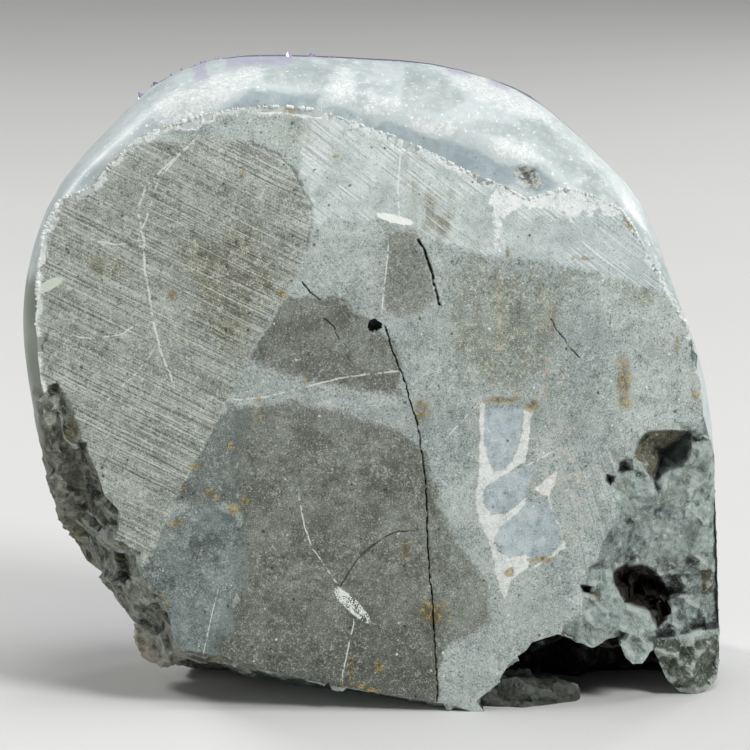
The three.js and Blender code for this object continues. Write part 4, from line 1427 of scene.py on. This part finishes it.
# %% Amethyst finish
finish, shader, tone = new_finish("amethyst_clear")
place = millimetres(tone)
y = place.node("ShaderNodeSeparateXYZ", inputs={0: place}, out="Y")
haze = place.speckle(9, 4, 0.6)
tip = tone.attribute("tip").step(-5, 6)
colour = (tip * 0.6 + (haze - 0.5) * 0.9).step(0, 0.7).mixed(rgb("9878cc"), rgb("4a2692"))
colour = (1 - (y + (haze - 0.5) * 8).step(-14, 2)).mixed(colour, rgb("d8d2e2"))
feed(shader, "Base Color", colour)
feed(shader, "Roughness", 0.06 + place.speckle(3, 2) * 0.12)
shader.inputs["Transmission Weight"].default_value = 0.3
shader.inputs["Coat Weight"].default_value = 0.5
shader.inputs["Coat Roughness"].default_value = 0.04
shader.inputs["IOR"].default_value = 1.544
crust.data.materials.append(finish)
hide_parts("amethyst_crystals")
amethyst_finish = finish
print("amethyst finish ready")

# %% [markdown]
# ## Druse of small points
#
# Between the large points a real crust is paved with small ones. Each is a six-sided cone with a blunt
# root, stood on the crust where a ray from the front lands. Along the rim they are tiny, and their tips
# sparkle over the top edge.

# %% Small points
rng = random.Random(41)
crust_corners = [v.co for v in crust.data.vertices]
crust_skin = BVHTree.FromPolygons(crust_corners, [p.vertices for p in crust.data.polygons])
low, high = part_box("amethyst_crystals")
FLOOR_TRIES = 1500
BAND_TRIES = 2600
CLEAR_OF_FLOOR = 2 * MM
FLOOR_RADII = (0.9, 2.6)
FLOOR_SLENDER = (1.7, 2.5)
BAND_INSETS = (0.4, 9)
BAND_RADII = (0.45, 1.1)
BAND_SLENDER = (1.5, 2.3)
BATCH = 1500
druse_mesh = bpy.data.meshes.new("druse_small_points")
shape = bmesh.new()
batch = bmesh.new()
shape.verts.layers.float.new("tip")
TIP_TONE = (-2, 3)


def pour():
    batch.to_mesh(druse_mesh)
    shape.from_mesh(druse_mesh)
    batch.clear()


def stand_point(spot, axis, radius, height):
    turn = axis.to_track_quat("Z", "Y").to_matrix().to_4x4()
    spin = Matrix.Rotation(rng.random() * math.pi, 4, "Z")
    place = Matrix.Translation(spot) @ turn @ spin @ Matrix.Translation((0, 0, height * 0.32))
    tip = batch.verts.layers.float.get("tip") or batch.verts.layers.float.new("tip")
    cone = bmesh.ops.create_cone(
        batch, cap_ends=True, segments=6, radius1=radius, radius2=radius * 0.06, depth=height, matrix=place
    )
    for vert in cone["verts"]:
        vert[tip] = TIP_TONE[(vert.co - spot).dot(axis) > height * 0.3]
    if len(batch.verts) > BATCH:
        pour()


def jitter(amount):
    return Vector((rng.uniform(-1, 1), rng.uniform(-1, 1), rng.uniform(-1, 1))) * amount


BAND_ARC = (math.radians(-40), math.radians(215))
count = 0
for _ in range(FLOOR_TRIES):
    start = Vector((rng.uniform(low[0], high[0]), high[1] + 0.05, rng.uniform(low[2], high[2])))
    spot, normal, _, _ = crust_skin.ray_cast(start, -BEHIND)
    if spot is None or spot.z < low[2] + CLEAR_OF_FLOOR:
        continue
    axis = (BEHIND * 0.6 + normal * 0.6 + jitter(0.35)).normalized()
    radius = rng.uniform(*FLOOR_RADII) * MM
    reach = math.hypot(spot.x, spot.z - HEART[1] * MM) + radius * 2
    if reach > rim_reach(math.atan2(spot.z - HEART[1] * MM, spot.x), spot.y / MM - SAW_FOOT) * MM:
        continue
    stand_point(spot, axis, radius, radius * rng.uniform(*FLOOR_SLENDER))
    count += 1
for _ in range(BAND_TRIES):
    angle = rng.uniform(*BAND_ARC)
    inset = rng.uniform(*BAND_INSETS)
    radius = rng.uniform(*BAND_RADII) + 0.06 * inset
    around = Vector((math.cos(angle), 0, math.sin(angle)))
    start = Vector((HEART[0], 120, HEART[1])) + around * (rim_reach(angle, 30) - inset - radius)
    spot, normal, _, _ = crust_skin.ray_cast(start * MM, -BEHIND)
    if spot is None or spot.z < low[2] + CLEAR_OF_FLOOR:
        continue
    axis = (BEHIND + normal * 0.3 - around * 0.2 + jitter(0.3)).normalized()
    stand_point(spot, axis, radius * MM, radius * rng.uniform(*BAND_SLENDER) * MM)
    count += 1
print("points on the floor and the rim band:", count)

# %% Rim points
RIM_ARC = (math.radians(96), math.radians(128))
RIM_TRIES = 150
RIM_RADII = (0.5, 1.3)
middle = Vector((HEART[0], 0, HEART[1])) * MM
count = 0
for _ in range(RIM_TRIES):
    angle = rng.uniform(*RIM_ARC)
    outward = Vector((math.cos(angle), 0, math.sin(angle)))
    start = middle + outward * 0.2 + BEHIND * rng.uniform(low[1], low[1] + 20 * MM)
    spot, normal, _, _ = crust_skin.ray_cast(start, -outward)
    if spot is None or normal.dot(outward) < 0.6:
        continue
    radius = rng.uniform(*RIM_RADII) * MM
    axis = (outward * 0.8 + BEHIND * 0.6 + jitter(0.3)).normalized()
    stand_point(spot - outward * 0.5 * MM, axis, radius, radius * 1.7)
    count += 1
pour()
shape.to_mesh(druse_mesh)
shape.free()
druse = bpy.data.objects.new("druse_small_points", druse_mesh)
bpy.context.scene.collection.objects.link(druse)
druse_mesh.materials.append(amethyst_finish)
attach(druse, "root")
print("points on the rim:", count, "faces:", len(druse_mesh.polygons))
